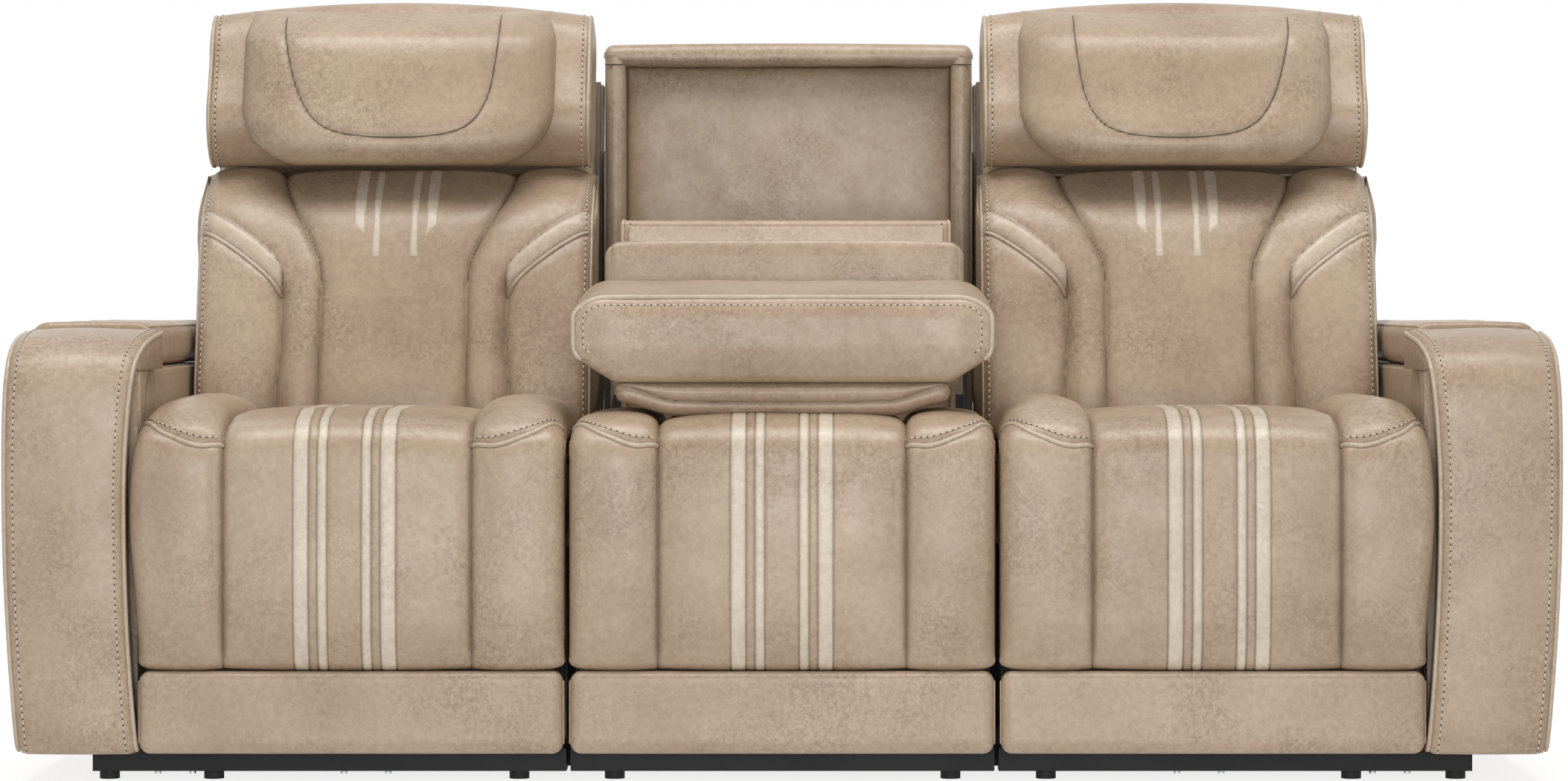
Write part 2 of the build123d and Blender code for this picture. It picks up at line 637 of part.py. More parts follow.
# Drive shafts with a crank each side and the actuator lever in the middle
for name, center in SECTIONS.items():
    lever_inner = YOKE_THICK / 2 + PLATE_PLAY
    with BuildPart() as drive_shaft:
        extrude(disc(side_plane(center - FRAME_HALF), SHAFT_Y, SHAFT_Z, SHAFT_RADIUS), amount=2 * FRAME_HALF)
        for start in both_sides(center, CRANK_INNER, CRANK_INNER + CRANK_THICK):
            crank = capsule(
                side_plane(start), (SHAFT_Y, SHAFT_Z), (CRANK_PIN_Y, CRANK_PIN_Z),
                SHAFT_RADIUS + CRANK_THICK, CRANK_HALF_WIDTH,
            )
            extrude(crank, amount=CRANK_THICK)
        for start in both_sides(center, CRANK_INNER, LINK_OUTER):
            pin = disc(side_plane(start), CRANK_PIN_Y, CRANK_PIN_Z, PIN_RADIUS)
            extrude(pin, amount=LINK_OUTER - CRANK_INNER)
        for start in both_sides(center, lever_inner, lever_inner + LEVER_THICK):
            lever = capsule(
                side_plane(start), (SHAFT_Y, SHAFT_Z), (LEVER_Y, LEVER_Z),
                SHAFT_RADIUS + CRANK_THICK, LEVER_HALF_WIDTH,
            )
            extrude(lever, amount=LEVER_THICK)
        reach = lever_inner + LEVER_THICK
        extrude(disc(side_plane(center - reach), LEVER_Y, LEVER_Z, LEVER_PIN_RADIUS), amount=2 * reach)
    save(drive_shaft, f"{name}_drive_shaft")

    with BuildPart() as push_links:
        for start in both_sides(center, LINK_INNER, LINK_OUTER):
            plane = side_plane(start)
            link = capsule(plane, (CRANK_PIN_Y, CRANK_PIN_Z), (FOOT_PIN_Y, FOOT_PIN_Z), LINK_HALF_WIDTH)
            extrude(link, amount=LINK_THICK)
            for pin_y, pin_z in ((CRANK_PIN_Y, CRANK_PIN_Z), (FOOT_PIN_Y, FOOT_PIN_Z)):
                bore = disc(plane, pin_y, pin_z, PIN_RADIUS + RUNNING)
                extrude(bore, amount=LINK_THICK, mode=Mode.SUBTRACT)
    save(push_links, f"{name}_push_links")

    with BuildPart() as actuator_rod:
        plane = side_plane(center - YOKE_THICK / 2)
        half_width = YOKE_WIDTH / 2
        half_height = YOKE_HEIGHT / 2
        yoke = rectangle(plane, LEVER_Y - half_width, ROD_Z - half_height, YOKE_REAR, ROD_Z + half_height)
        extrude(yoke, amount=YOKE_THICK)
        slot_low = ROD_Z - YOKE_SLOT_HEIGHT / 2
        slot_half = YOKE_SLOT_WIDTH / 2
        slot_high = slot_low + YOKE_SLOT_HEIGHT
        slot = rectangle(plane, LEVER_Y - slot_half, slot_low, LEVER_Y + slot_half, slot_high)
        extrude(slot, amount=YOKE_THICK, mode=Mode.SUBTRACT)
        rod_end = TUBE_FRONT + ROD_ENGAGED
        extrude(disc(front_plane(rod_end), center, ROD_Z, ROD_RADIUS), amount=rod_end - YOKE_REAR)
    save(actuator_rod, f"{name}_actuator_rod")

# Actuators: tube, motor case and rear lug on the cross tube
with BuildPart() as actuators:
    for center in SECTIONS.values():
        extrude(disc(front_plane(MOTOR_FRONT), center, ROD_Z, TUBE_RADIUS), amount=TUBE_LENGTH)
        motor = rectangle(
            front_plane(MOTOR_REAR),
            center - MOTOR_WIDTH / 2, ROD_Z - MOTOR_DROP, center + MOTOR_WIDTH / 2, ROD_Z + MOTOR_RISE,
        )
        extrude(motor, amount=MOTOR_LENGTH)
        lug = capsule(
            side_plane(center - LUG_THICK / 2),
            (MOTOR_REAR - LUG_RADIUS, ROD_Z), (CROSS_TUBE_Y, ROD_Z), LUG_RADIUS,
        )
        extrude(lug, amount=LUG_THICK)
        lug_bore = disc(side_plane(center - LUG_THICK / 2), CROSS_TUBE_Y, ROD_Z, CROSS_TUBE_RADIUS)
        extrude(lug_bore, amount=LUG_THICK, mode=Mode.SUBTRACT)
        rod_bore = disc(front_plane(MOTOR_FRONT), center, ROD_Z, ROD_RADIUS + RUNNING)
        extrude(rod_bore, amount=TUBE_LENGTH, mode=Mode.SUBTRACT)
save(actuators, "actuators")

# Power supply on the rear rail, with the inlet for its lead
with BuildPart() as power_supply:
    supply_rear = REAR_RAIL + RAIL_WIDTH
    supply_half = SUPPLY_WIDTH / 2
    case = rectangle(level(RAIL_TOP), -supply_half, supply_rear - SUPPLY_LENGTH, supply_half, supply_rear)
    extrude(case, amount=SUPPLY_HEIGHT)
    inlet_low = RAIL_TOP + (SUPPLY_HEIGHT - INLET_HEIGHT) / 2
    inlet = rectangle(
        front_plane(supply_rear), -INLET_WIDTH / 2, inlet_low, INLET_WIDTH / 2, inlet_low + INLET_HEIGHT
    )
    extrude(inlet, amount=INLET_DEPTH, mode=Mode.SUBTRACT)
save(power_supply, "power_supply")


def back_rear(z):
    """Y of the back cushion's rear face at a height."""
    return PIVOT_Y + BACK_REAR_START + (z - BACK_BOTTOM) * tan(radians(BACK_LEAN))


def shell_rear(z):
    """Y of the outer back shell's rear face at a height."""
    share = (z - SHELL_BOTTOM) / (SHELL_TOP - SHELL_BOTTOM)
    return SHELL_BOTTOM_Y + share * (SHELL_TOP_Y - SHELL_BOTTOM_Y)


def back_section(z, center, thick, inner_seam, outer_seam):
    """Back cushion outline at a height: five crowned channels in front, bulged sides, straight rear."""
    rear = back_rear(z)
    front = rear - thick
    half = BACK_HALF
    edge = front + 3 * GROOVE_DEPTH
    seam = front + GROOVE_DEPTH
    outer = (half + outer_seam) / 2
    between = (inner_seam + outer_seam) / 2
    middle = (rear + edge) / 2
    with BuildSketch(level(z)) as sketch:
        with BuildLine():
            Line((center - half, rear), (center + half, rear))
            ThreePointArc(
                (center + half, rear), (center + half + CUSHION_BULGE, middle), (center + half, edge)
            )
            ThreePointArc((center + half, edge), (center + outer, front), (center + outer_seam, seam))
            ThreePointArc((center + outer_seam, seam), (center + between, front), (center + inner_seam, seam))
            ThreePointArc(
                (center + inner_seam, seam), (center, front - GROOVE_DEPTH), (center - inner_seam, seam)
            )
            ThreePointArc((center - inner_seam, seam), (center - between, front), (center - outer_seam, seam))
            ThreePointArc((center - outer_seam, seam), (center - outer, front), (center - half, edge))
            ThreePointArc(
                (center - half, edge), (center - half - CUSHION_BULGE, middle), (center - half, rear)
            )
        make_face()
    return sketch.sketch.face()


HEAD_Y = back_rear(BACK_TOP) - HEAD_FORWARD

# Outer backs: frame with rear shell, side arms, rails and headrest posts; channelled cushion
for name, side in SIDES.items():
    seat_center = SECTIONS[name]
    center = side * BACK_CENTER
    rail_thick = FRAME_THICK
    with BuildPart() as back_frame:
        shell = polygon(
            side_plane(center - BACK_HALF),
            (SHELL_BOTTOM_Y - SHELL_THICK, SHELL_BOTTOM),
            (SHELL_BOTTOM_Y, SHELL_BOTTOM),
            (SHELL_TOP_Y, SHELL_TOP),
            (SHELL_TOP_Y - SHELL_THICK, SHELL_TOP),
        )
        extrude(shell, amount=2 * BACK_HALF)
        arm_rear_low = shell_rear(SHELL_BOTTOM) - SHELL_THICK / 2
        arm_rear_high = shell_rear(BACK_TOP) - SHELL_THICK / 2
        for start in both_sides(seat_center, BACK_ARM_INNER, BACK_ARM_INNER + BACK_ARM_THICK):
            plane = side_plane(start)
            arm = polygon(
                plane,
                (PIVOT_Y, PIVOT_HEIGHT - PIVOT_HEAD),
                (PIVOT_Y, PIVOT_HEIGHT + PIVOT_HEAD),
                (back_rear(BACK_BOTTOM) + PLATE_PLAY, BACK_BOTTOM),
                (back_rear(BACK_TOP) + PLATE_PLAY, BACK_TOP),
                (arm_rear_high, BACK_TOP),
                (arm_rear_low, SHELL_BOTTOM),
            )
            extrude(arm, amount=BACK_ARM_THICK)
            extrude(disc(plane, PIVOT_Y, PIVOT_HEIGHT, PIVOT_HEAD), amount=BACK_ARM_THICK)
            pivot_bore = disc(plane, PIVOT_Y, PIVOT_HEIGHT, PIVOT_RADIUS + RUNNING)
            extrude(pivot_bore, amount=BACK_ARM_THICK, mode=Mode.SUBTRACT)
        reach = BACK_ARM_INNER + BACK_ARM_THICK / 2
        for top in (BACK_BOTTOM + 2 * UPRIGHT_WIDTH, BACK_TOP):
            rail_front = back_rear(top) + PLATE_PLAY
            rail = rectangle(
                side_plane(seat_center - reach), rail_front, top - UPRIGHT_WIDTH, rail_front + rail_thick, top
            )
            extrude(rail, amount=2 * reach)
        post_front = back_rear(BACK_TOP) + PLATE_PLAY
        for start in both_sides(center, HEAD_POST_INNER, HEAD_POST_INNER + HEAD_POST_THICK):
            plane = side_plane(start)
            post = polygon(
                plane,
                (post_front, BACK_TOP - UPRIGHT_WIDTH),
                (post_front + rail_thick, BACK_TOP - UPRIGHT_WIDTH),
                (post_front + rail_thick, BACK_TOP + rail_thick),
                (HEAD_Y + HEAD_POST_RADIUS, HEAD_PIVOT_HEIGHT),
                (HEAD_Y - HEAD_POST_RADIUS, HEAD_PIVOT_HEIGHT),
                (post_front, BACK_TOP),
            )
            extrude(post, amount=HEAD_POST_THICK)
            extrude(disc(plane, HEAD_Y, HEAD_PIVOT_HEIGHT, HEAD_POST_RADIUS), amount=HEAD_POST_THICK)
            head_bore = disc(plane, HEAD_Y, HEAD_PIVOT_HEIGHT, HEAD_ROD_RADIUS + RUNNING)
            extrude(head_bore, amount=HEAD_POST_THICK, mode=Mode.SUBTRACT)
    save(back_frame, f"{name}_back_frame")

    with BuildPart() as back_cushion:
        step = (BACK_TOP - BACK_BOTTOM) / 5
        flare = (WING_SEAM + PANEL_SEAM) / 2
        loft([
            back_section(BACK_BOTTOM, center, BACK_FOOT_THICK, PANEL_SEAM, SIDE_SEAM),
            back_section(BACK_BOTTOM + step, center, BACK_THICK, PANEL_SEAM, SIDE_SEAM),
            back_section(BACK_BOTTOM + 2 * step, center, BACK_THICK, PANEL_SEAM, SIDE_SEAM),
            back_section(BACK_BOTTOM + 3 * step, center, BACK_THICK, PANEL_SEAM, SIDE_SEAM),
            back_section(BACK_BOTTOM + 4 * step, center, BACK_THICK, flare, flare + SIDE_SEAM - PANEL_SEAM),
            back_section(BACK_TOP, center, BACK_HEAD_THICK, WING_SEAM, WING_SEAM + 5 * GROOVE_DEPTH),
        ])
    save(back_cushion, f"{name}_back_cushion")

# Headrests: rod with board, bolster that turns in its own round foot, pad
HEAD_AXIS = (sin(radians(BACK_LEAN)), cos(radians(BACK_LEAN)))
HEAD_TOP_Y = HEAD_Y + HEAD_LENGTH * HEAD_AXIS[0]
HEAD_TOP_Z = HEAD_PIVOT_HEIGHT + HEAD_LENGTH * HEAD_AXIS[1]


def head_front(z):
    """Y of the bolster's front flank at a height, where the pad sits."""
    share = (z - HEAD_PIVOT_HEIGHT) / (HEAD_TOP_Z - HEAD_PIVOT_HEIGHT)
    low = HEAD_Y - HEAD_RADIUS
    return low + share * (HEAD_TOP_Y - HEAD_TOP_RADIUS - low)


for name, side in SIDES.items():
    center = side * BACK_CENTER
    board_y = HEAD_Y + HEAD_BOARD_LENGTH * HEAD_AXIS[0]
    board_z = HEAD_PIVOT_HEIGHT + HEAD_BOARD_LENGTH * HEAD_AXIS[1]
    with BuildPart() as headrest_frame:
        rod = disc(side_plane(center - HEAD_ROD_HALF), HEAD_Y, HEAD_PIVOT_HEIGHT, HEAD_ROD_RADIUS)
        extrude(rod, amount=2 * HEAD_ROD_HALF)
        board = capsule(
            side_plane(center - HEAD_BOARD_HALF),
            (HEAD_Y, HEAD_PIVOT_HEIGHT), (board_y, board_z), HEAD_BOARD_THICK / 2,
        )
        extrude(board, amount=2 * HEAD_BOARD_HALF)
    save(headrest_frame, f"{name}_headrest_frame")

    with BuildPart() as headrest_bolster:
        profile = capsule(
            side_plane(center - HEAD_HALF), (HEAD_Y, HEAD_PIVOT_HEIGHT), (HEAD_TOP_Y, HEAD_TOP_Z),
            HEAD_RADIUS, HEAD_TOP_RADIUS,
        )
        extrude(profile, amount=2 * HEAD_HALF)
        ends = headrest_bolster.faces().sort_by(Axis.X)
        fillet(ends[0].edges() + ends[-1].edges(), radius=2 * GROOVE_DEPTH)
        slot_inner = HEAD_POST_INNER - PLATE_PLAY
        slot_outer = HEAD_POST_INNER + HEAD_POST_THICK + PLATE_PLAY
        room = HEAD_POST_RADIUS + PLATE_PLAY
        for start in both_sides(center, slot_inner, slot_outer):
            plane = side_plane(start)
            post_room = disc(plane, HEAD_Y, HEAD_PIVOT_HEIGHT, room)
            extrude(post_room, amount=slot_outer - slot_inner, mode=Mode.SUBTRACT)
            quarter = polygon(
                plane,
                (HEAD_Y - room, HEAD_PIVOT_HEIGHT),
                (HEAD_Y - room, HEAD_PIVOT_HEIGHT - HEAD_RADIUS),
                (HEAD_Y + 2 * HEAD_RADIUS, HEAD_PIVOT_HEIGHT - HEAD_RADIUS),
                (HEAD_Y + 2 * HEAD_RADIUS, HEAD_PIVOT_HEIGHT + room),
                (HEAD_Y, HEAD_PIVOT_HEIGHT + room),
            )
            extrude(quarter, amount=slot_outer - slot_inner, mode=Mode.SUBTRACT)
        add(headrest_frame.part, mode=Mode.SUBTRACT)
    save(headrest_bolster, f"{name}_headrest_bolster")

    with BuildPart() as headrest_pad:
        low = HEAD_PAD_BOTTOM
        high = HEAD_PAD_TOP
        crown_z = (low + high) / 2
        top_half = HEAD_PAD_HALF - GROOVE_DEPTH
        with BuildSketch(front_plane(head_front(high))) as face_outline:
            with BuildLine():
                Line((center - HEAD_PAD_FOOT_HALF, low), (center + HEAD_PAD_FOOT_HALF, low))
                ThreePointArc(
                    (center + HEAD_PAD_FOOT_HALF, low),
                    (center + HEAD_PAD_HALF - 2 * GROOVE_DEPTH, (low + crown_z) / 2),
                    (center + HEAD_PAD_HALF, crown_z),
                )
                Line((center + HEAD_PAD_HALF, crown_z), (center + top_half, high))
                Line((center + top_half, high), (center - top_half, high))
                Line((center - top_half, high), (center - HEAD_PAD_HALF, crown_z))
                ThreePointArc(
                    (center - HEAD_PAD_HALF, crown_z),
                    (center - HEAD_PAD_HALF + 2 * GROOVE_DEPTH, (low + crown_z) / 2),
                    (center - HEAD_PAD_FOOT_HALF, low),
                )
            make_face()
        extrude(amount=head_front(high) - head_front(low) + 2 * HEAD_PAD_THICK)
        with BuildSketch(side_plane(center - HEAD_PAD_HALF)) as crown_profile:
            with BuildLine():
                Line((head_front(low) - SOFT_GAP, low), (head_front(high) - SOFT_GAP, high))
                Line((head_front(high) - SOFT_GAP, high), (head_front(high) - HEAD_PAD_THICK / 2, high))
                ThreePointArc(
                    (head_front(high) - HEAD_PAD_THICK / 2, high),
                    (head_front(crown_z) - HEAD_PAD_THICK, crown_z),
                    (head_front(low) - HEAD_PAD_THICK / 3, low),
                )
                Line((head_front(low) - HEAD_PAD_THICK / 3, low), (head_front(low) - SOFT_GAP, low))
            make_face()
        extrude(amount=2 * HEAD_PAD_HALF, mode=Mode.INTERSECT)
        add(headrest_bolster.part, mode=Mode.SUBTRACT)
    save(headrest_pad, f"{name}_headrest_pad")

# Centre back: steel arms with the table pins, and the upholstered recess shell
with BuildPart() as center_back_frame:
    for start in both_sides(0, BACK_ARM_INNER, BACK_ARM_INNER + BACK_ARM_THICK):
        plane = side_plane(start)
        arm = polygon(
            plane,
            (PIVOT_Y, PIVOT_HEIGHT - PIVOT_HEAD),
            (PIVOT_Y, PIVOT_HEIGHT + PIVOT_HEAD),
            (SHELL_FRONT, CENTER_SHELL_BOTTOM + 2 * UPRIGHT_WIDTH),
            (SHELL_FRONT, CENTER_SHELL_BOTTOM),
        )
        extrude(arm, amount=BACK_ARM_THICK)
        extrude(disc(plane, PIVOT_Y, PIVOT_HEIGHT, PIVOT_HEAD), amount=BACK_ARM_THICK)
    for start in both_sides(0, TABLE_ARM_INNER, TABLE_ARM_INNER + TABLE_ARM_THICK):
        carrier = capsule(
            side_plane(start),
            (PIVOT_Y, PIVOT_HEIGHT), (TABLE_Y, TABLE_HINGE_HEIGHT), PIVOT_HEAD, TABLE_HEAD_RADIUS,
        )
        extrude(carrier, amount=TABLE_ARM_THICK)
    bore_span = TABLE_ARM_INNER + TABLE_ARM_THICK
    pivot_bore = disc(side_plane(-bore_span), PIVOT_Y, PIVOT_HEIGHT, PIVOT_RADIUS + RUNNING)
    extrude(pivot_bore, amount=2 * bore_span, mode=Mode.SUBTRACT)
    pin_reach = TABLE_ARM_INNER + TABLE_ARM_THICK
    for start in both_sides(0, TABLE_LUG_INNER, pin_reach):
        pin = disc(side_plane(start), TABLE_Y, TABLE_HINGE_HEIGHT, TABLE_PIN_RADIUS)
        extrude(pin, amount=pin_reach - TABLE_LUG_INNER)
    valance_rear = SHELL_FRONT - VALANCE_SETBACK
    valance_front = valance_rear - VALANCE_THICK
    tie = polygon(
        side_plane(-BACK_ARM_INNER),
        (SHELL_FRONT, CENTER_SHELL_BOTTOM + UPRIGHT_WIDTH),
        (SHELL_FRONT - FRAME_THICK, CENTER_SHELL_BOTTOM + UPRIGHT_WIDTH),
        (SHELL_FRONT - FRAME_THICK, CENTER_SHELL_BOTTOM + VALANCE_THICK),
        (valance_front, CENTER_SHELL_BOTTOM + VALANCE_THICK),
        (valance_front, VALANCE_BOTTOM),
        (valance_rear, VALANCE_BOTTOM),
        (valance_rear, CENTER_SHELL_BOTTOM),
        (SHELL_FRONT, CENTER_SHELL_BOTTOM),
    )
    extrude(tie, amount=2 * BACK_ARM_INNER)
save(center_back_frame, "center_back_frame")

with BuildPart() as center_back_shell:
    outer = rectangle(
        front_plane(REAR), -CENTER_SHELL_HALF, CENTER_SHELL_BOTTOM, CENTER_SHELL_HALF, CENTER_SHELL_TOP
    )
    extrude(outer, amount=CENTER_SHELL_DEPTH)
    opening = CENTER_SHELL_HALF - CENTER_SHELL_WALL
    recess = rectangle(
        front_plane(REAR - CENTER_PANEL_THICK),
        -opening, CENTER_SHELL_BOTTOM + UPRIGHT_WIDTH, opening, CENTER_SHELL_TOP - CENTER_SHELL_WALL,
    )
    extrude(recess, amount=CENTER_SHELL_DEPTH, mode=Mode.SUBTRACT)
    upright_edges = center_back_shell.edges().filter_by(Axis.Y).group_by(Axis.Z)[-1]
    fillet(upright_edges, radius=CENTER_CORNER)
save(center_back_shell, "center_back_shell")

# Table: board with hinge lugs, back cushion, console with two steps, head bolster and pad, cup holders
with BuildPart() as table_board:
    board = rectangle(
        level(TABLE_BOARD_BOTTOM), -TABLE_BOARD_HALF, TABLE_FRONT + ROLL_CORNER, TABLE_BOARD_HALF, TABLE_Y
    )
    extrude(board, amount=TABLE_BOARD_THICK)
    lug_outer = TABLE_LUG_INNER + TABLE_LUG_THICK
    wing_front = TABLE_Y - 2 * TABLE_HEAD_RADIUS
    wing = rectangle(level(TABLE_BOARD_BOTTOM), -lug_outer, wing_front, lug_outer, TABLE_Y)
    extrude(wing, amount=TABLE_BOARD_THICK)
    for start in both_sides(0, TABLE_LUG_INNER, lug_outer):
        plane = side_plane(start)
        extrude(disc(plane, TABLE_Y, TABLE_HINGE_HEIGHT, TABLE_HEAD_RADIUS), amount=TABLE_LUG_THICK)
        lug = rectangle(
            plane, TABLE_Y - TABLE_HEAD_RADIUS, TABLE_HINGE_HEIGHT, TABLE_Y, TABLE_BOARD_TOP
        )
        extrude(lug, amount=TABLE_LUG_THICK)
        pin_bore = disc(plane, TABLE_Y, TABLE_HINGE_HEIGHT, TABLE_PIN_RADIUS + RUNNING)
        extrude(pin_bore, amount=TABLE_LUG_THICK, mode=Mode.SUBTRACT)
save(table_board, "table_board")


def slab_section(y, half, low, high, sag):
    """Upholstered slab outline: flat top, straight sides, crowned underside."""
    with BuildSketch(front_plane(y)) as sketch:
        with BuildLine():
            ThreePointArc((-half, low), (0, low - sag), (half, low))
            Line((half, low), (half, high))
            Line((half, high), (-half, high))
            Line((-half, high), (-half, low))
        make_face()
    return sketch.sketch.face()


with BuildPart() as table_back_cushion:
    low = TABLE_UNDERSIDE + GROOVE_DEPTH
    cushion_rear = TABLE_Y - TABLE_HEAD_RADIUS - BODY_GAP
    cushion_half = TABLE_LUG_INNER - BODY_GAP
    end_half = cushion_half - GROOVE_DEPTH
    end_low = low + GROOVE_DEPTH
    soft = 3 * GROOVE_DEPTH
    loft([
        slab_section(ROLL_REAR, end_half, end_low, TABLE_BOARD_BOTTOM, SLAB_END_SAG),
        slab_section(ROLL_REAR + soft, cushion_half, low, TABLE_BOARD_BOTTOM, GROOVE_DEPTH),
        slab_section(cushion_rear - soft, cushion_half, low, TABLE_BOARD_BOTTOM, GROOVE_DEPTH),
        slab_section(cushion_rear, end_half, end_low, TABLE_BOARD_BOTTOM, SLAB_END_SAG),
    ], ruled=True)
save(table_back_cushion, "table_back_cushion")

with BuildPart() as table_console:
    step = rectangle(level(TABLE_BOARD_TOP), -STEP_HALF, ROLL_REAR, STEP_HALF, STEP_REAR)
    extrude(step, amount=STEP_TOP - TABLE_BOARD_TOP)
    long_edges = table_console.edges().filter_by(Axis.Y).group_by(Axis.Z)[-1]
    fillet(long_edges, radius=3 * GROOVE_DEPTH)
    front_edge = table_console.faces().sort_by(Axis.Z)[-1].edges().sort_by(Axis.Y)[0]
    fillet(front_edge, radius=GROOVE_DEPTH)
    riser = rectangle(level(TABLE_BOARD_TOP), -RISER_HALF, STEP_REAR, RISER_HALF, TABLE_Y)
    extrude(riser, amount=RISER_TOP - TABLE_BOARD_TOP)
    riser_top = table_console.faces().sort_by(Axis.Z)[-1]
    fillet(riser_top.edges(), radius=2 * GROOVE_DEPTH)
    cup_y = (ROLL_REAR + STEP_REAR) / 2
    for side in SIDES.values():
        hole = disc(level(STEP_TOP - CUP_DEPTH - CUP_WALL), side * CUP_SPACING, cup_y, CUP_RADIUS + CUP_WALL)
        extrude(hole, amount=CUP_DEPTH + CUP_WALL, mode=Mode.SUBTRACT)
save(table_console, "table_console")

with BuildPart() as cup_holders:
    for side in SIDES.values():
        cup_x = side * CUP_SPACING
        floor_z = STEP_TOP - CUP_DEPTH - CUP_WALL
        extrude(disc(level(floor_z), cup_x, cup_y, CUP_RADIUS + CUP_WALL), amount=CUP_DEPTH + CUP_WALL)
        extrude(disc(level(STEP_TOP), cup_x, cup_y, CUP_RADIUS + CUP_FLANGE), amount=CUP_FLANGE_HEIGHT)
        well = disc(level(floor_z + CUP_WALL), cup_x, cup_y, CUP_RADIUS)
        extrude(well, amount=CUP_DEPTH + CUP_FLANGE_HEIGHT, mode=Mode.SUBTRACT)
save(cup_holders, "cup_holders")

with BuildPart() as table_bolster:
    roll = rectangle(side_plane(-ROLL_HALF), TABLE_FRONT, ROLL_BOTTOM, ROLL_REAR, ROLL_TOP)
    extrude(roll, amount=2 * ROLL_HALF)
    long_edges = table_bolster.edges().filter_by(Axis.X)
    fillet(long_edges.sort_by(Axis.Z)[-2:], radius=ROLL_CORNER)
    low_front = table_bolster.edges().filter_by(Axis.X).group_by(Axis.Z)[0].sort_by(Axis.Y)[0]
    fillet(low_front, radius=2 * GROOVE_DEPTH)
    ends = table_bolster.faces().filter_by(Axis.X)
    fillet(ends.edges(), radius=GROOVE_DEPTH)
    add(table_board.part, mode=Mode.SUBTRACT)
save(table_bolster, "table_bolster")

with BuildPart() as table_head_pad:
    soft = 3 * GROOVE_DEPTH
    low = TABLE_PAD_BOTTOM + GROOVE_DEPTH
    loft([
        slab_section(TABLE_FRONT + soft / 3, TABLE_PAD_HALF - soft, low + soft, ROLL_BOTTOM, SLAB_END_SAG),
        slab_section(TABLE_FRONT + soft, TABLE_PAD_HALF, low, ROLL_BOTTOM, GROOVE_DEPTH),
        slab_section(ROLL_REAR - 2 * soft, TABLE_PAD_HALF, low, ROLL_BOTTOM, GROOVE_DEPTH),
        slab_section(ROLL_REAR - soft, TABLE_PAD_HALF - soft, low + soft, ROLL_BOTTOM, SLAB_END_SAG),
    ], ruled=True)
save(table_head_pad, "table_head_pad")


def arm_outer(z):
    """Distance of the arm's outer face from the middle of the sofa at a height."""
    rise = ARM_WIDEST - RAIL_TOP
    radius = (rise * rise + ARM_TAPER * ARM_TAPER) / (2 * ARM_TAPER)
    return HALF_WIDTH - radius + sqrt(radius * radius - (z - ARM_WIDEST) ** 2)


def arm_front_section(y, side, inset, low, inner_shoulder):
    """Arm front outline: bowed outer side, large outer top round, smaller inner top round."""
    high = ARM_FRONT_TOP - inset
    shoulder = ARM_BODY_TOP
    inner = ARM_INNER + inset
    corner = ARM_FRONT_TOP - ARM_BODY_TOP
    middle = (low + shoulder) / 2
    outer_high = arm_outer(shoulder) - inset
    bend = corner * (1 - sqrt(0.5))
    small = ARM_FRONT_TOP - inner_shoulder
    small_bend = small * (1 - sqrt(0.5))
    with BuildSketch(front_plane(y)) as sketch:
        with BuildLine():
            Line((side * inner, low), (side * (arm_outer(low) - inset), low))
            ThreePointArc(
                (side * (arm_outer(low) - inset), low), (side * (arm_outer(middle) - inset), middle),
                (side * outer_high, shoulder),
            )
            ThreePointArc(
                (side * outer_high, shoulder), (side * (outer_high - bend), high - bend),
                (side * (outer_high - corner), high),
            )
            Line((side * (outer_high - corner), high), (side * (inner + small), high))
            ThreePointArc(
                (side * (inner + small), high), (side * (inner + small_bend), high - small_bend),
                (side * inner, inner_shoulder),
            )
            Line((side * inner, inner_shoulder), (side * inner, low))
        make_face()
    return sketch.sketch.face()


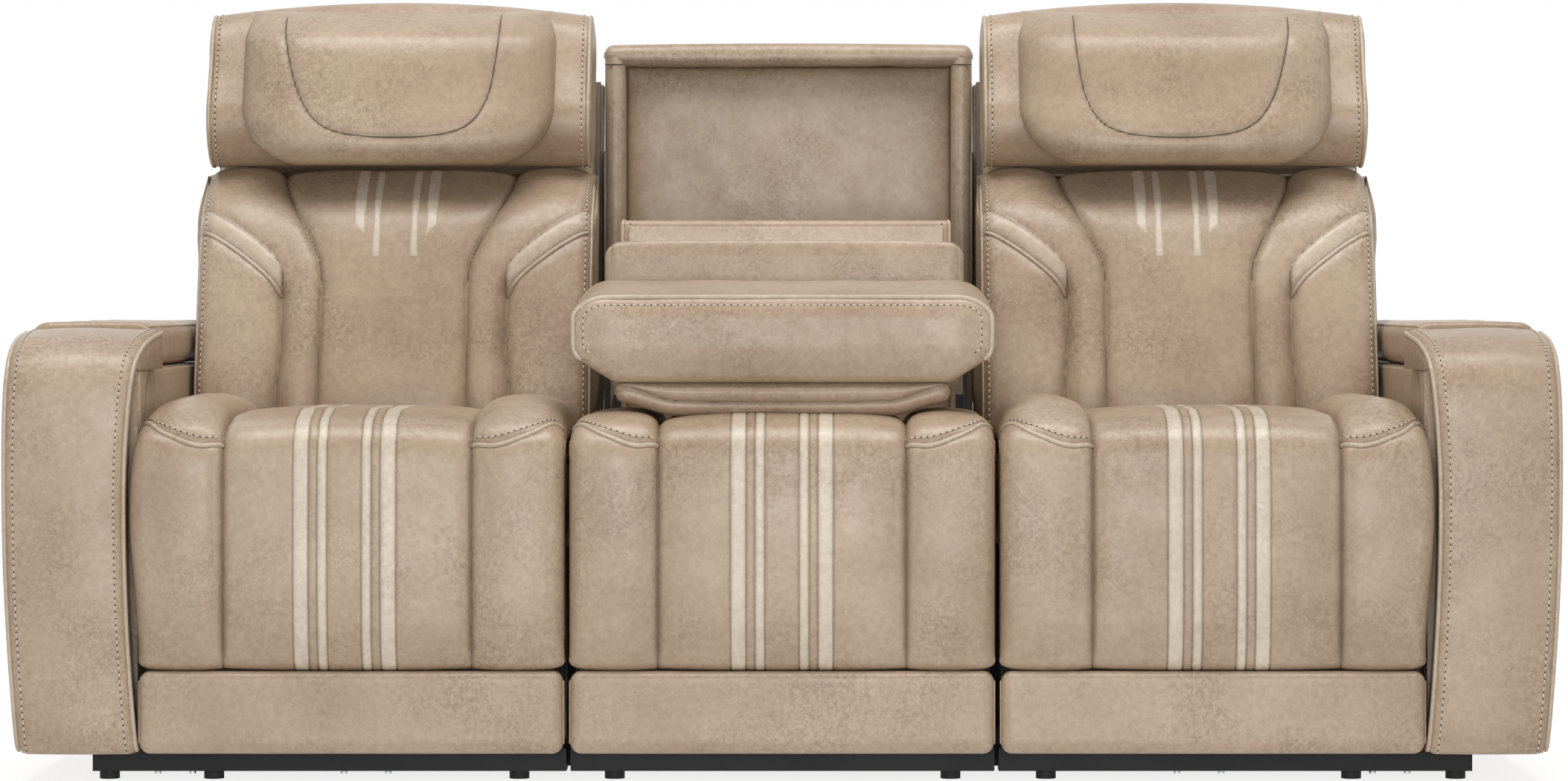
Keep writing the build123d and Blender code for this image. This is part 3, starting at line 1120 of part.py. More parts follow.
# Arms: body with storage bin and switch pocket, padded front with its hump, lid and hinge
for name, side in SIDES.items():
    switch_low = SWITCH_HEIGHT - SWITCH_PLATE_HEIGHT / 2
    switch_front = SWITCH_Y - SWITCH_PLATE_LENGTH / 2
    foot_outer = arm_outer(RAIL_TOP)
    with BuildPart() as arm_body:
        with BuildSketch(front_plane(ARM_REAR)) as body_outline:
            with BuildLine():
                Line((side * ARM_INNER, RAIL_TOP), (side * foot_outer, RAIL_TOP))
                ThreePointArc(
                    (side * foot_outer, RAIL_TOP),
                    (side * HALF_WIDTH, ARM_WIDEST),
                    (side * arm_outer(ARM_BODY_TOP), ARM_BODY_TOP),
                )
                Line((side * arm_outer(ARM_BODY_TOP), ARM_BODY_TOP), (side * ARM_INNER, ARM_BODY_TOP))
                Line((side * ARM_INNER, ARM_BODY_TOP), (side * ARM_INNER, RAIL_TOP))
            make_face()
        extrude(amount=ARM_REAR - ARM_BODY_FRONT)
        bin_inner = ARM_INNER + BIN_WALL
        bin_outer = LID_HINGE_X - LID_HINGE_RADIUS
        storage = rectangle(
            level(BIN_FLOOR),
            side * bin_inner, LID_FRONT + BIN_END_WALL, side * bin_outer, LID_REAR - BIN_END_WALL,
        )
        extrude(storage, amount=ARM_BODY_TOP - BIN_FLOOR, mode=Mode.SUBTRACT)
        pocket = rectangle(
            side_plane(side * (HALF_WIDTH - SWITCH_POCKET / 2)),
            switch_front, switch_low, switch_front + SWITCH_PLATE_LENGTH, switch_low + SWITCH_PLATE_HEIGHT,
        )
        extrude(pocket, amount=SWITCH_POCKET / 2, both=True, mode=Mode.SUBTRACT)
    save(arm_body, f"{name}_arm_body")

    with BuildPart() as arm_front:
        inner_shoulder = ARM_BODY_TOP + ARM_FRONT_SOFTEN
        soft = ARM_FRONT_SOFTEN
        loft([
            arm_front_section(ARM_BODY_FRONT, side, 0, ARM_BOTTOM, inner_shoulder),
            arm_front_section(ARM_FRONT + soft, side, 0, ARM_BOTTOM, inner_shoulder),
            arm_front_section(ARM_FRONT, side, soft, ARM_BOTTOM + soft, inner_shoulder),
        ], ruled=True)
        hump_rear = ARM_BODY_FRONT + ARM_HUMP_LENGTH
        hump = arm_front_section(hump_rear, side, 0, ARM_BODY_TOP - soft, inner_shoulder)
        extrude(hump, amount=ARM_HUMP_LENGTH)
        under_hump = rectangle(
            level(0), side * (ARM_INNER - SOFT_GAP), ARM_BODY_FRONT, side * (HALF_WIDTH + SOFT_GAP), hump_rear
        )
        extrude(under_hump, amount=ARM_BODY_TOP, mode=Mode.SUBTRACT)
    save(arm_front, f"{name}_arm_front")

    with BuildPart() as arm_lid:
        edge = HALF_WIDTH - LID_HINGE_INSET + LID_HINGE_RADIUS
        corner = LID_TOP - LID_HINGE_Z
        bend = corner * (1 - sqrt(0.5))
        roll = (LID_TOP - LID_BOTTOM) / 2
        quarter = LID_HINGE_RADIUS * sqrt(0.5)
        with BuildSketch(front_plane(LID_REAR)) as lid_outline:
            with BuildLine():
                Line((side * ARM_INNER, LID_BOTTOM), (side * LID_HINGE_X, LID_BOTTOM))
                ThreePointArc(
                    (side * LID_HINGE_X, LID_BOTTOM),
                    (side * (LID_HINGE_X + quarter), LID_HINGE_Z - quarter),
                    (side * edge, LID_HINGE_Z),
                )
                ThreePointArc(
                    (side * edge, LID_HINGE_Z), (side * (edge - bend), LID_TOP - bend),
                    (side * (edge - corner), LID_TOP),
                )
                Line((side * (edge - corner), LID_TOP), (side * (ARM_INNER + roll), LID_TOP))
                ThreePointArc(
                    (side * (ARM_INNER + roll), LID_TOP),
                    (side * (ARM_INNER - SOFT_GAP), LID_BOTTOM + roll),
                    (side * ARM_INNER, LID_BOTTOM),
                )
            make_face()
        extrude(amount=LID_REAR - LID_FRONT)
        rod_room = disc(front_plane(LID_REAR), side * LID_HINGE_X, LID_HINGE_Z, LID_ROD_RADIUS + RUNNING)
        extrude(rod_room, amount=LID_REAR - LID_FRONT, mode=Mode.SUBTRACT)
        for post_y in LID_POSTS:
            slot_half = LID_POST_LENGTH / 2 + LID_POST_PLAY
            slot = rectangle(
                front_plane(post_y + slot_half),
                side * (LID_HINGE_X - 2 * LID_POST_HALF), LID_BOTTOM - LID_GAP,
                side * (edge + LID_POST_PLAY), LID_HINGE_Z + 2 * LID_POST_HALF,
            )
            extrude(slot, amount=2 * slot_half, mode=Mode.SUBTRACT)
    save(arm_lid, f"{name}_arm_lid")

# Lid hinge rods on their posts
with BuildPart() as lid_hinges:
    for side in SIDES.values():
        hinge_x = side * LID_HINGE_X
        rod = disc(front_plane(LID_REAR), hinge_x, LID_HINGE_Z, LID_ROD_RADIUS)
        extrude(rod, amount=LID_REAR - LID_FRONT)
        for post_y in LID_POSTS:
            plane = front_plane(post_y + LID_POST_LENGTH / 2)
            extrude(disc(plane, hinge_x, LID_HINGE_Z, LID_POST_HALF), amount=LID_POST_LENGTH)
            post = rectangle(
                plane, hinge_x - LID_POST_HALF, ARM_BODY_TOP, hinge_x + LID_POST_HALF, LID_HINGE_Z
            )
            extrude(post, amount=LID_POST_LENGTH)
save(lid_hinges, "lid_hinges")

# Switch plates and rockers on the arms' outer faces
ROCKER_AXIS = SWITCH_FACE - ROCKER_DEPTH / 2
ROCKER_SPOTS = {"recline": -ROCKER_SPACING, "headrest": ROCKER_SPACING}
with BuildPart() as switch_plates:
    for side in SIDES.values():
        plate_inner = HALF_WIDTH - SWITCH_POCKET
        plate = rectangle(
            side_plane(side * (plate_inner + SWITCH_FACE) / 2),
            SWITCH_Y - SWITCH_PLATE_LENGTH / 2, SWITCH_HEIGHT - SWITCH_PLATE_HEIGHT / 2,
            SWITCH_Y + SWITCH_PLATE_LENGTH / 2, SWITCH_HEIGHT + SWITCH_PLATE_HEIGHT / 2,
        )
        extrude(plate, amount=(SWITCH_FACE - plate_inner) / 2, both=True)
        for spot in ROCKER_SPOTS.values():
            half_length = ROCKER_LENGTH / 2 + ROCKER_PLAY / 2
            half_height = ROCKER_HEIGHT / 2 + ROCKER_PLAY
            window = rectangle(
                side_plane(side * (plate_inner + SWITCH_FACE) / 2),
                SWITCH_Y + spot - half_length, SWITCH_HEIGHT - half_height,
                SWITCH_Y + spot + half_length, SWITCH_HEIGHT + half_height,
            )
            extrude(window, amount=SWITCH_FACE - plate_inner, both=True, mode=Mode.SUBTRACT)
            pin_half = ROCKER_LENGTH / 2 + ROCKER_PIN_LENGTH
            pin_room = disc(
                front_plane(SWITCH_Y + spot + pin_half),
                side * ROCKER_AXIS, SWITCH_HEIGHT, ROCKER_PIN_RADIUS + RUNNING,
            )
            extrude(pin_room, amount=2 * pin_half, mode=Mode.SUBTRACT)
save(switch_plates, "switch_plates")

for name, side in SIDES.items():
    for use, spot in ROCKER_SPOTS.items():
        with BuildPart() as rocker:
            half_height = ROCKER_HEIGHT / 2
            key = polygon(
                front_plane(SWITCH_Y + spot + ROCKER_LENGTH / 2),
                (side * (ROCKER_AXIS - ROCKER_DEPTH / 3), SWITCH_HEIGHT - half_height),
                (side * (SWITCH_FACE + ROCKER_PLAY), SWITCH_HEIGHT - half_height),
                (side * SWITCH_FACE, SWITCH_HEIGHT),
                (side * (SWITCH_FACE + ROCKER_PLAY), SWITCH_HEIGHT + half_height),
                (side * (ROCKER_AXIS - ROCKER_DEPTH / 3), SWITCH_HEIGHT + half_height),
            )
            extrude(key, amount=ROCKER_LENGTH)
            pin_half = ROCKER_LENGTH / 2 + ROCKER_PIN_LENGTH - ROCKER_PLAY / 2
            pin_plane = front_plane(SWITCH_Y + spot + pin_half)
            pin = disc(pin_plane, side * ROCKER_AXIS, SWITCH_HEIGHT, ROCKER_PIN_RADIUS)
            extrude(pin, amount=2 * pin_half)
        save(rocker, f"{name}_{use}_rocker")
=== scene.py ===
"""Looks of the power reclining sofa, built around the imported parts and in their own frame.

Shapes are worked out in millimetres and turned into metres where an object is made.
"""

import json
import math

import bpy
import numpy as np
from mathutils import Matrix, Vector


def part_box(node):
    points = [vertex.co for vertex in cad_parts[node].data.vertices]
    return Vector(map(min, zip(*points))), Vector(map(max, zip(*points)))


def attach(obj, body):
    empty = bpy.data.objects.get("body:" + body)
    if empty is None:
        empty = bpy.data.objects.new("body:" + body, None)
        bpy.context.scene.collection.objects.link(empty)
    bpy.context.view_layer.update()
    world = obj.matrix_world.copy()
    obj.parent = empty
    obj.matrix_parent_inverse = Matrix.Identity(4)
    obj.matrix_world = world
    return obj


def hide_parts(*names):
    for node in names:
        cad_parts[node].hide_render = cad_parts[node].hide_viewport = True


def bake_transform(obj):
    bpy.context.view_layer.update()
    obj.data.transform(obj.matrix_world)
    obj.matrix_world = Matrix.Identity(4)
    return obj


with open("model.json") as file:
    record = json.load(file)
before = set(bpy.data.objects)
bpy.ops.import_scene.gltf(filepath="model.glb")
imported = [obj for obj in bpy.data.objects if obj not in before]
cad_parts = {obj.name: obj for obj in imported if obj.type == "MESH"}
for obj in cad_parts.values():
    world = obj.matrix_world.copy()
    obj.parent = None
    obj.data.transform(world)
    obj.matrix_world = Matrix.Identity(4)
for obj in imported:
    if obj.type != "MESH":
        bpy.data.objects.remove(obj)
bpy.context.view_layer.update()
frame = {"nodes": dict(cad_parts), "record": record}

MM = 0.001
SIDES = {"left": -1, "right": 1}
SECTIONS = ("left", "center", "right")
TAGS = {-1: "a", 1: "b"}
BACK_LEAN = math.radians(17.0)

# Photograph and camera
IMAGE_WIDTH = 2107.0
IMAGE_HEIGHT = 1050.0
FOCAL_PIXELS = 6571.0
AXIS_PIXEL_X = 1125.0
AXIS_PIXEL_Y = 400.0
CAMERA_SPOT = (0.079, -7.492, 0.696)
SENSOR_WIDTH = 36.0
FAR_CLIP = 60.0

# Sewing
PIPING_RADIUS = 3.4
SEAM_RADIUS = 1.0
STITCH_PITCH = 9.6
STITCH_LIFT = 0.2
# Length, half width and half height of a stitch and of a needle hole
STITCH_SIZE = (6.2, 1.25, 1.25)
HOLE_SIZE = (2.4, 1.5, 0.9)
BEAD_SIDES = 6
# Places along a bead, as shares of its length, and how thick it is there
BEAD_PROFILE = ((-0.5, 0.4), (0, 1), (0.5, 0.4))


def box_mm(node):
    """Lowest and highest corner of a part at rest, in millimetres."""
    low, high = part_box(node)
    return np.array(low) / MM, np.array(high) / MM


def smooth(t):
    """Smooth step from 0 to 1."""
    t = np.clip(t, 0, 1)
    return t * t * (3 - 2 * t)


def bell(t):
    """Bell curve, 1 in the middle."""
    return np.exp(-(t**2))


def fade(distance, width):
    """Falls from 1 with distance."""
    return np.exp(-distance / width)


def crease(distance, depth, width):
    """Depth of a sewn crease at a distance from its seam."""
    soft = np.sqrt(distance * distance + 1.0) - 1.0
    return depth * np.exp(-soft / width)


def rounded_over(over, radius):
    """Drop of a rounded edge, over being how far a point lies past the start of the rounding."""
    return radius - np.sqrt(radius**2 - over**2 + 1e-6)


def ripple(u, v, size, seed):
    """Gentle uneven swell between -1 and 1, the same on every run."""
    total = 0
    for turn in range(4):
        angle = seed * 1.7 + turn * 2.399
        wave = 2 * math.pi / (size * (0.7 + 0.28 * turn))
        total = total + np.sin(wave * (u * math.cos(angle) + v * math.sin(angle)) + seed * 3.1 + turn)
    return total / 4


# Paths and points


def unit(vectors):
    """The same vectors with length 1."""
    return vectors / np.linalg.norm(vectors, axis=-1)[..., None]


def run_of(path):
    """Distance along a path to each of its points."""
    return np.concatenate([[0], np.cumsum(np.linalg.norm(np.diff(path, axis=0), axis=1))])


def spots_of(x, y, z):
    """Points from three coordinates, any of which may be one number."""
    return np.stack(np.broadcast_arrays(x, y, z), axis=-1)


def spline(points, step):
    """Smooth curve through given points, sampled about every step."""
    points = np.array(points, float)
    padded = np.vstack([2 * points[0] - points[1], points, 2 * points[-1] - points[-2]])
    t = np.linspace(0, 1, 24, endpoint=False)[:, None]
    pieces = []
    for i in range(len(points) - 1):
        a, b, c, d = padded[i : i + 4]
        pieces.append(
            0.5 * (2 * b + (c - a) * t + (2 * a - 5 * b + 4 * c - d) * t**2 + (3 * b - a - 3 * c + d) * t**3)
        )
    pieces.append(points[-1:])
    return resample(np.vstack(pieces), step)


def resample(path, step):
    """The same path with points about every step."""
    run = run_of(path)
    count = max(2, int(round(run[-1] / step)) + 1)
    at = np.linspace(0, run[-1], count)
    return np.stack([np.interp(at, run, path[:, k]) for k in range(path.shape[1])], axis=1)


def distance_to_path(u, v, path):
    """Distance of points (u, v) from a polyline in the same plane."""
    best = np.full(np.broadcast(u, v).shape, 1e9)
    for (au, av), (bu, bv) in zip(path[:-1], path[1:]):
        du, dv = bu - au, bv - av
        t = np.clip(((u - au) * du + (v - av) * dv) / (du * du + dv * dv), 0, 1)
        best = np.minimum(best, np.hypot(u - au - t * du, v - av - t * dv))
    return best


# Meshes


def make_object(name, points, faces, materials, slots=None, painted_shade=None):
    """Mesh from millimetre points, with its rest place and its seam shade kept for the materials."""
    mesh = bpy.data.meshes.new(name)
    mesh.from_pydata((points * MM).tolist(), [], faces)
    for material in materials:
        mesh.materials.append(material)
    if slots is not None:
        mesh.polygons.foreach_set("material_index", np.array(slots, np.int32))
    mesh.polygons.foreach_set("use_smooth", np.ones(len(mesh.polygons), bool))
    rest = mesh.attributes.new("rest", "FLOAT_VECTOR", "POINT")
    rest.data.foreach_set("vector", (points * MM).astype(np.float32).ravel())
    shade = mesh.attributes.new("seam_shade", "FLOAT", "POINT")
    values = np.zeros(len(points)) if painted_shade is None else np.asarray(painted_shade)
    shade.data.foreach_set("value", values.astype(np.float32).ravel())
    mesh.validate()
    obj = bpy.data.objects.new(name, mesh)
    bpy.context.collection.objects.link(obj)
    return obj


def loft(name, rings, materials, ring_slots=None, painted_shade=None):
    """Closed skin through rings of equal length, capped at both ends; slots are for one ring or for all."""
    stations, around = rings.shape[:2]
    points = rings.reshape(-1, 3)
    index = np.arange(stations * around).reshape(stations, around)
    nxt = np.roll(index, -1, axis=1)
    quads = np.stack([index[:-1], nxt[:-1], nxt[1:], index[1:]], axis=-1).reshape(-1, 4)
    caps = [index[0][::-1].tolist(), index[-1].tolist()]
    local = points - points.mean(axis=0)
    a, b, c, d = (local[quads[:, k]] for k in range(4))
    volume = np.sum(a * (np.cross(b, c) + np.cross(c, d)))
    for cap in caps:
        fan = local[cap]
        volume += np.sum(fan[0] * np.cross(fan[1:-1], fan[2:]))
    faces = quads.tolist() + caps
    if volume < 0:
        faces = [face[::-1] for face in faces]
    slots = None
    if ring_slots is not None:
        slots = np.append(np.broadcast_to(ring_slots, (stations - 1, around)), [0, 0])
    shade = None if painted_shade is None else np.asarray(painted_shade).reshape(-1)
    return make_object(name, points, faces, materials, slots, shade)


def tube(name, path, radius, material, sides=10):
    """Round cord along a path, with rounded ends."""
    path = np.asarray(path, float)
    tangent = unit(np.gradient(path, axis=0))
    side = unit(np.cross(tangent[0], (0.3, 0.5, 0.81)))
    angles = np.linspace(0, 2 * math.pi, sides, endpoint=False)
    rings = []
    for i, (spot, along) in enumerate(zip(path, tangent)):
        side = unit(side - along * np.dot(side, along))
        other = np.cross(along, side)
        ring = np.cos(angles)[:, None] * side + np.sin(angles)[:, None] * other
        if i == 0:
            rings.append(spot - along * radius * 0.7 + ring * radius * 0.5)
        rings.append(spot + ring * radius)
        if i == len(path) - 1:
            rings.append(spot + along * radius * 0.7 + ring * radius * 0.5)
    return loft(name, np.array(rings), [material])


def bead(center, along, side, up, length, width, height):
    """Points and faces of a small spindle."""
    angles = np.linspace(0, 2 * math.pi, BEAD_SIDES, endpoint=False)
    ring = np.cos(angles)[:, None] * side * width + np.sin(angles)[:, None] * up * height
    points = [center + along * length * place + ring * swell for place, swell in BEAD_PROFILE]
    faces = []
    for row in (0, BEAD_SIDES):
        for k in range(BEAD_SIDES):
            following = (k + 1) % BEAD_SIDES
            faces.append([row + k, row + following, row + BEAD_SIDES + following, row + BEAD_SIDES + k])
    faces += [list(range(BEAD_SIDES - 1, -1, -1)), list(range(2 * BEAD_SIDES, 3 * BEAD_SIDES))]
    return np.vstack(points), faces


def stitches(name, rows):
    """Stitches with a needle hole between each two; a row is a path and the way out along it."""
    points, faces, slots = [], [], []
    for path, out in rows:
        path = np.asarray(path, float)
        run = run_of(path)
        guides = (path, np.gradient(path, axis=0), np.asarray(out, float))
        for step, place in enumerate(np.arange(STITCH_PITCH / 2, run[-1], STITCH_PITCH / 2)):
            spot, along, up = (
                np.array([np.interp(place, run, values[:, k]) for k in range(3)]) for values in guides
            )
            along = unit(along)
            up = unit(up - along * np.dot(up, along))
            side = np.cross(up, along)
            hole = step % 2
            lift, size = (0.0, HOLE_SIZE) if hole else (STITCH_LIFT, STITCH_SIZE)
            bead_points, bead_faces = bead(spot + up * lift, along, side, up, *size)
            start = len(bead_points) * len(points)
            points.append(bead_points)
            faces += [[start + k for k in face] for face in bead_faces]
            slots += [hole] * len(bead_faces)
    return make_object(name, np.vstack(points), faces, [THREAD, HOLE], slots)


# Padded bars


def corner_arc(before, here, after, radius):
    """Where a rounded corner starts, its middle, its radius and where it ends."""
    back, ahead = before - here, after - here
    back_length, ahead_length = np.linalg.norm(back), np.linalg.norm(ahead)
    back, ahead = back / back_length, ahead / ahead_length
    half = 0.5 * math.acos(np.clip(np.dot(back, ahead), -1, 1))
    reach = min(radius / math.tan(half), 0.49 * back_length, 0.49 * ahead_length)
    radius = reach * math.tan(half)
    middle = here + (back + ahead) / np.linalg.norm(back + ahead) * radius / math.sin(half)
    return here + back * reach, middle, radius, here + ahead * reach


def moved_in(corners, inset):
    """Corners of a convex polygon with every edge moved inward by inset."""
    following = np.roll(corners, -1, axis=0)
    area = np.sum(corners[:, 0] * following[:, 1] - corners[:, 1] * following[:, 0])
    edges = unit(following - corners)
    inward = np.sign(area) * np.stack([-edges[:, 1], edges[:, 0]], axis=1)
    bisector = inward + np.roll(inward, 1, axis=0)
    bisector /= np.einsum("ij,ij->i", bisector, inward)[:, None]
    return corners + bisector * inset


def rounded_outline(corners, radii, inset, step, arc_points):
    """Closed outline of a convex polygon with rounded corners, moved in; as many points for any inset."""
    corners = np.array(corners, float)
    count = len(corners)
    moved = moved_in(corners, inset)
    arcs = []
    for i in range(count):
        radius = max(radii[i] - inset, 1.0)
        arcs.append(corner_arc(moved[i - 1], moved[i], moved[(i + 1) % count], radius))
    points = []
    for i, (start, middle, radius, end) in enumerate(arcs):
        first = math.atan2(*(start - middle)[::-1])
        last = math.atan2(*(end - middle)[::-1])
        sweep = (last - first + math.pi) % (2 * math.pi) - math.pi
        angles = first + sweep * np.linspace(0, 1, arc_points)
        points.append(middle + radius * np.stack([np.cos(angles), np.sin(angles)], axis=1))
        span = np.linalg.norm(corners[(i + 1) % count] - corners[i])
        share = np.linspace(0, 1, max(1, int(span / step)) + 1)[1:-1][:, None]
        points.append(end + (arcs[(i + 1) % count][0] - end) * share)
    return np.vstack(points)


def rectangle(u, v, far_u, far_v):
    """Corners of a rectangle."""
    return [(u, v), (far_u, v), (far_u, far_v), (u, far_v)]


def section(corners, radii, limit, step, arc_points=7):
    """Section of a bar: a polygon with rounded corners, moved in by an inset up to a limit."""

    def outline(inset):
        return rounded_outline(corners, radii, min(inset, limit), step, arc_points)

    return outline


def end_rows(edge, radius, sign, face):
    """Places and insets from a bar's slightly crowned end to its full section."""
    rows = [(edge - sign * 1.6, inset) for inset in np.arange(face, radius + 14.0, -6.0)]
    rows += [(edge - sign * 1.6, radius + 14.0), (edge - sign * 0.8, radius + 6.0)]
    for angle in np.linspace(0, math.pi / 2, 7):
        rows.append((edge + sign * radius * (1 - math.cos(angle)), radius * (1 - math.sin(angle))))
    return rows


def soft_bar(name, axis, span, outline, rounding, step=8.0, shape=None, face=0.0, material=None):
    """Padded bar: an outline drawn along an axis, its two ends rounded over.

    outline(inset) gives the section. shape(rings) may move the points and give the shade of the seams.
    face is how far in from the edge the first end has points of its own.
    """
    (start, end), (round_start, round_end) = span, rounding
    inner_start, inner_end = start + round_start, end - round_end
    count = max(2, int(abs(inner_end - inner_start) / step))
    body = [(t, 0.0) for t in np.linspace(inner_start, inner_end, count + 1)[1:-1]]
    rows = end_rows(start, round_start, 1.0, face) + body + end_rows(end, round_end, -1.0, 0.0)[::-1]
    along = "XYZ".index(axis)
    across = [k for k in range(3) if k != along]
    rings = []
    for t, inset in rows:
        flat = outline(inset)
        ring = np.empty((len(flat), 3))
        ring[:, along] = t
        ring[:, across] = flat
        rings.append(ring)
    rings = np.array(rings)
    painted_shade = None if shape is None else shape(rings)
    return loft(name, rings, [TAN if material is None else material], None, painted_shade)


# Materials

BLACK = (0, 0, 0)
WHITE = (1, 1, 1)
WORN_SHARE = 0.62
# Colour multiplied in where the painted seam shade is full
PAINTED_SEAM_SHADE = (0.3, 0.25, 0.2)
MOTTLE_TINTS = ((0.85, 0.83, 0.81), (1.07, 1.07, 1.07))


def scaled(color, factor):
    """A colour made lighter or darker."""
    return tuple(factor * c for c in color)


def feed(links, socket, value):
    """A plain value, or another node's output, on a socket."""
    if isinstance(value, bpy.types.NodeSocket):
        links.new(value, socket)
    else:
        socket.default_value = value


class Look:
    """A material being built, with the nodes that most looks share."""

    def __init__(self, name, own_place=False):
        """Takes the rest place of a sewn piece, or the object's own place for a plain part."""
        self.material = bpy.data.materials.new(name)
        self.material.use_nodes = True
        self.nodes = self.material.node_tree.nodes
        self.links = self.material.node_tree.links
        self.shader = self.nodes["Principled BSDF"]
        if own_place:
            self.place = self.nodes.new("ShaderNodeTexCoord").outputs["Object"]
        else:
            self.place = self.attribute("rest").outputs["Vector"]

    def attribute(self, name):
        """Value kept on the mesh."""
        node = self.nodes.new("ShaderNodeAttribute")
        node.attribute_name = name
        return node

    def put(self, socket, value):
        """A number, or another node's output, on one of the shader's sockets."""
        feed(self.links, self.shader.inputs[socket], value)

    def add(self, kind, output, **inputs):
        """Output of a new node, whose inputs take plain values or other nodes' outputs."""
        node = self.nodes.new(f"ShaderNode{kind}")
        for name, value in inputs.items():
            feed(self.links, node.inputs[name], value)
        return node.outputs[output]

    def noise(self, scale, detail=5.0, roughness=0.55, place=None):
        """Cloudy noise."""
        place = self.place if place is None else place
        return self.add("TexNoise", "Fac", Scale=scale, Detail=detail, Roughness=roughness, Vector=place)

    def cells(self, scale):
        """Pebbled grain."""
        return self.add("TexVoronoi", "Distance", Scale=scale, Vector=self.place)

    def stretched(self, scale):
        """The place, drawn out along an axis."""
        return self.add("Mapping", "Vector", Scale=scale, Vector=self.place)

    def ramp(self, value, low, high, low_color, high_color):
        """Colour that runs from one to another as a value rises."""
        node = self.nodes.new("ShaderNodeValToRGB")
        for element, position, color in zip(node.color_ramp.elements, (low, high), (low_color, high_color)):
            element.position = position
            element.color = (*color, 1)
        self.links.new(value, node.inputs["Fac"])
        return node.outputs["Color"]

    def levels(self, value, low, high, least, most):
        """Number that runs from least to most as a value rises."""
        return self.ramp(value, low, high, (least,) * 3, (most,) * 3)

    def times(self, a, b):
        """Product of an output and another output or a number."""
        node = self.nodes.new("ShaderNodeMath")
        node.operation = "MULTIPLY"
        for socket, value in zip(node.inputs, (a, b)):
            feed(self.links, socket, value)
        return node.outputs[0]

    def mix(self, share, a, b, blend="MIX"):
        """Two colours mixed or multiplied."""
        node = self.nodes.new("ShaderNodeMix")
        node.data_type = "RGBA"
        node.blend_type = blend
        for socket, value in ((node.inputs[0], share), (node.inputs[6], a), (node.inputs[7], b)):
            feed(self.links, socket, (*value, 1) if isinstance(value, tuple) else value)
        return node.outputs[2]

    def bump(self, height, strength, distance, under=None):
        """Fine relief, which may lie over another."""
        below = {} if under is None else {"Normal": under}
        return self.add("Bump", "Normal", Strength=strength, Distance=distance, Height=height, **below)


def leather(name, dark, light, worn, own_place=False):
    """Distressed leather: soft clouds, speckled brown patches, fine pebbled grain, shade in the seams."""
    look = Look(name, own_place)
    clouds = look.ramp(look.noise(4.2, 4.0, 0.5), 0.3, 0.7, dark, light)
    patches = look.ramp(look.noise(7.5, 5.0, 0.58), 0.4, 0.64, BLACK, WHITE)
    speckle = look.ramp(look.noise(170.0, 7.0, 0.78), 0.44, 0.6, BLACK, WHITE)
    color = look.mix(look.times(look.times(patches, speckle), WORN_SHARE), clouds, worn)
    mottle = look.ramp(look.noise(95.0, 6.0, 0.7), 0.32, 0.66, *MOTTLE_TINTS)
    color = look.mix(1.0, color, mottle, "MULTIPLY")
    # Painted shade: the seam_shade attribute darkens the colour along seams and creases
    shade = look.ramp(look.attribute("seam_shade").outputs["Fac"], 0.0, 1.0, WHITE, PAINTED_SEAM_SHADE)
    look.put("Base Color", look.mix(1.0, color, shade, "MULTIPLY"))
    grain = look.bump(look.cells(520.0), 0.12, 0.0006)
    look.put("Normal", look.bump(look.noise(60.0, 6.0, 0.6), 0.16, 0.0016, grain))
    look.put("Roughness", look.levels(look.noise(24.0), 0.3, 0.75, 0.29, 0.45))
    return look.material


def thread(name, color):
    """Twisted sewing thread, also used for needle holes and seam lines."""
    look = Look(name)
    twist = look.noise(900.0, 2.0)
    look.put("Base Color", look.ramp(twist, 0.3, 0.7, scaled(color, 0.82), color))
    look.put("Normal", look.bump(twist, 0.3, 0.0004))
    look.put("Roughness", 0.7)
    return look.material


def painted(name, color, roughness, metallic=0.0, sheen=0.5):
    """Painted, moulded or plated surface with slight unevenness and dust in its colour."""
    look = Look(name, True)
    cloud = look.noise(9.0)
    look.put("Base Color", look.ramp(cloud, 0.3, 0.75, scaled(color, 0.8), scaled(color, 1.25)))
    look.put("Normal", look.bump(look.noise(420.0, 3.0), 0.18, 0.0004))
    look.put("Roughness", look.levels(cloud, 0.2, 0.8, roughness - 0.07, roughness + 0.1))
    look.put("Metallic", metallic)
    look.put("Specular IOR Level", sheen)
    return look.material


def brushed(name, color, roughness):
    """Steel with fine lines."""
    look = Look(name, True)
    lines = look.noise(1.0, 4.0, place=look.stretched((30.0, 900.0, 900.0)))
    look.put("Base Color", look.ramp(lines, 0.3, 0.7, scaled(color, 0.78), color))
    look.put("Roughness", look.levels(lines, 0.3, 0.7, roughness - 0.05, roughness + 0.12))
    look.put("Normal", look.bump(lines, 0.08, 0.0003))
    look.put("Metallic", 1.0)
    return look.material


def plywood(name):
    """Bare board with drawn-out growth rings."""
    look = Look(name, True)
    rings = look.noise(2.2, 7.0, 0.62, look.stretched((2.0, 30.0, 30.0)))
    look.put("Base Color", look.ramp(rings, 0.32, 0.7, (0.42, 0.27, 0.14), (0.66, 0.49, 0.3)))
    look.put("Normal", look.bump(rings, 0.2, 0.0006))
    look.put("Roughness", 0.68)
    return look.material


TAN_COLOURS = ((0.38, 0.278, 0.188), (0.482, 0.374, 0.268), (0.2, 0.128, 0.073))
REAR_COLOURS = ((0.12, 0.091, 0.065), (0.192, 0.15, 0.11), (0.084, 0.062, 0.043))
TAN = leather("taupe_leather", *TAN_COLOURS)
# Taupe leather painted lighter, as the highlight on the backs' bands
BAND_HIGHLIGHT_TAN = leather("band_highlight_leather", (0.505, 0.405, 0.302), (0.6, 0.5, 0.386), (0.385, 0.29, 0.205))
CREAM = leather("cream_leather", (0.57, 0.49, 0.385), (0.7, 0.615, 0.505), (0.46, 0.375, 0.28))
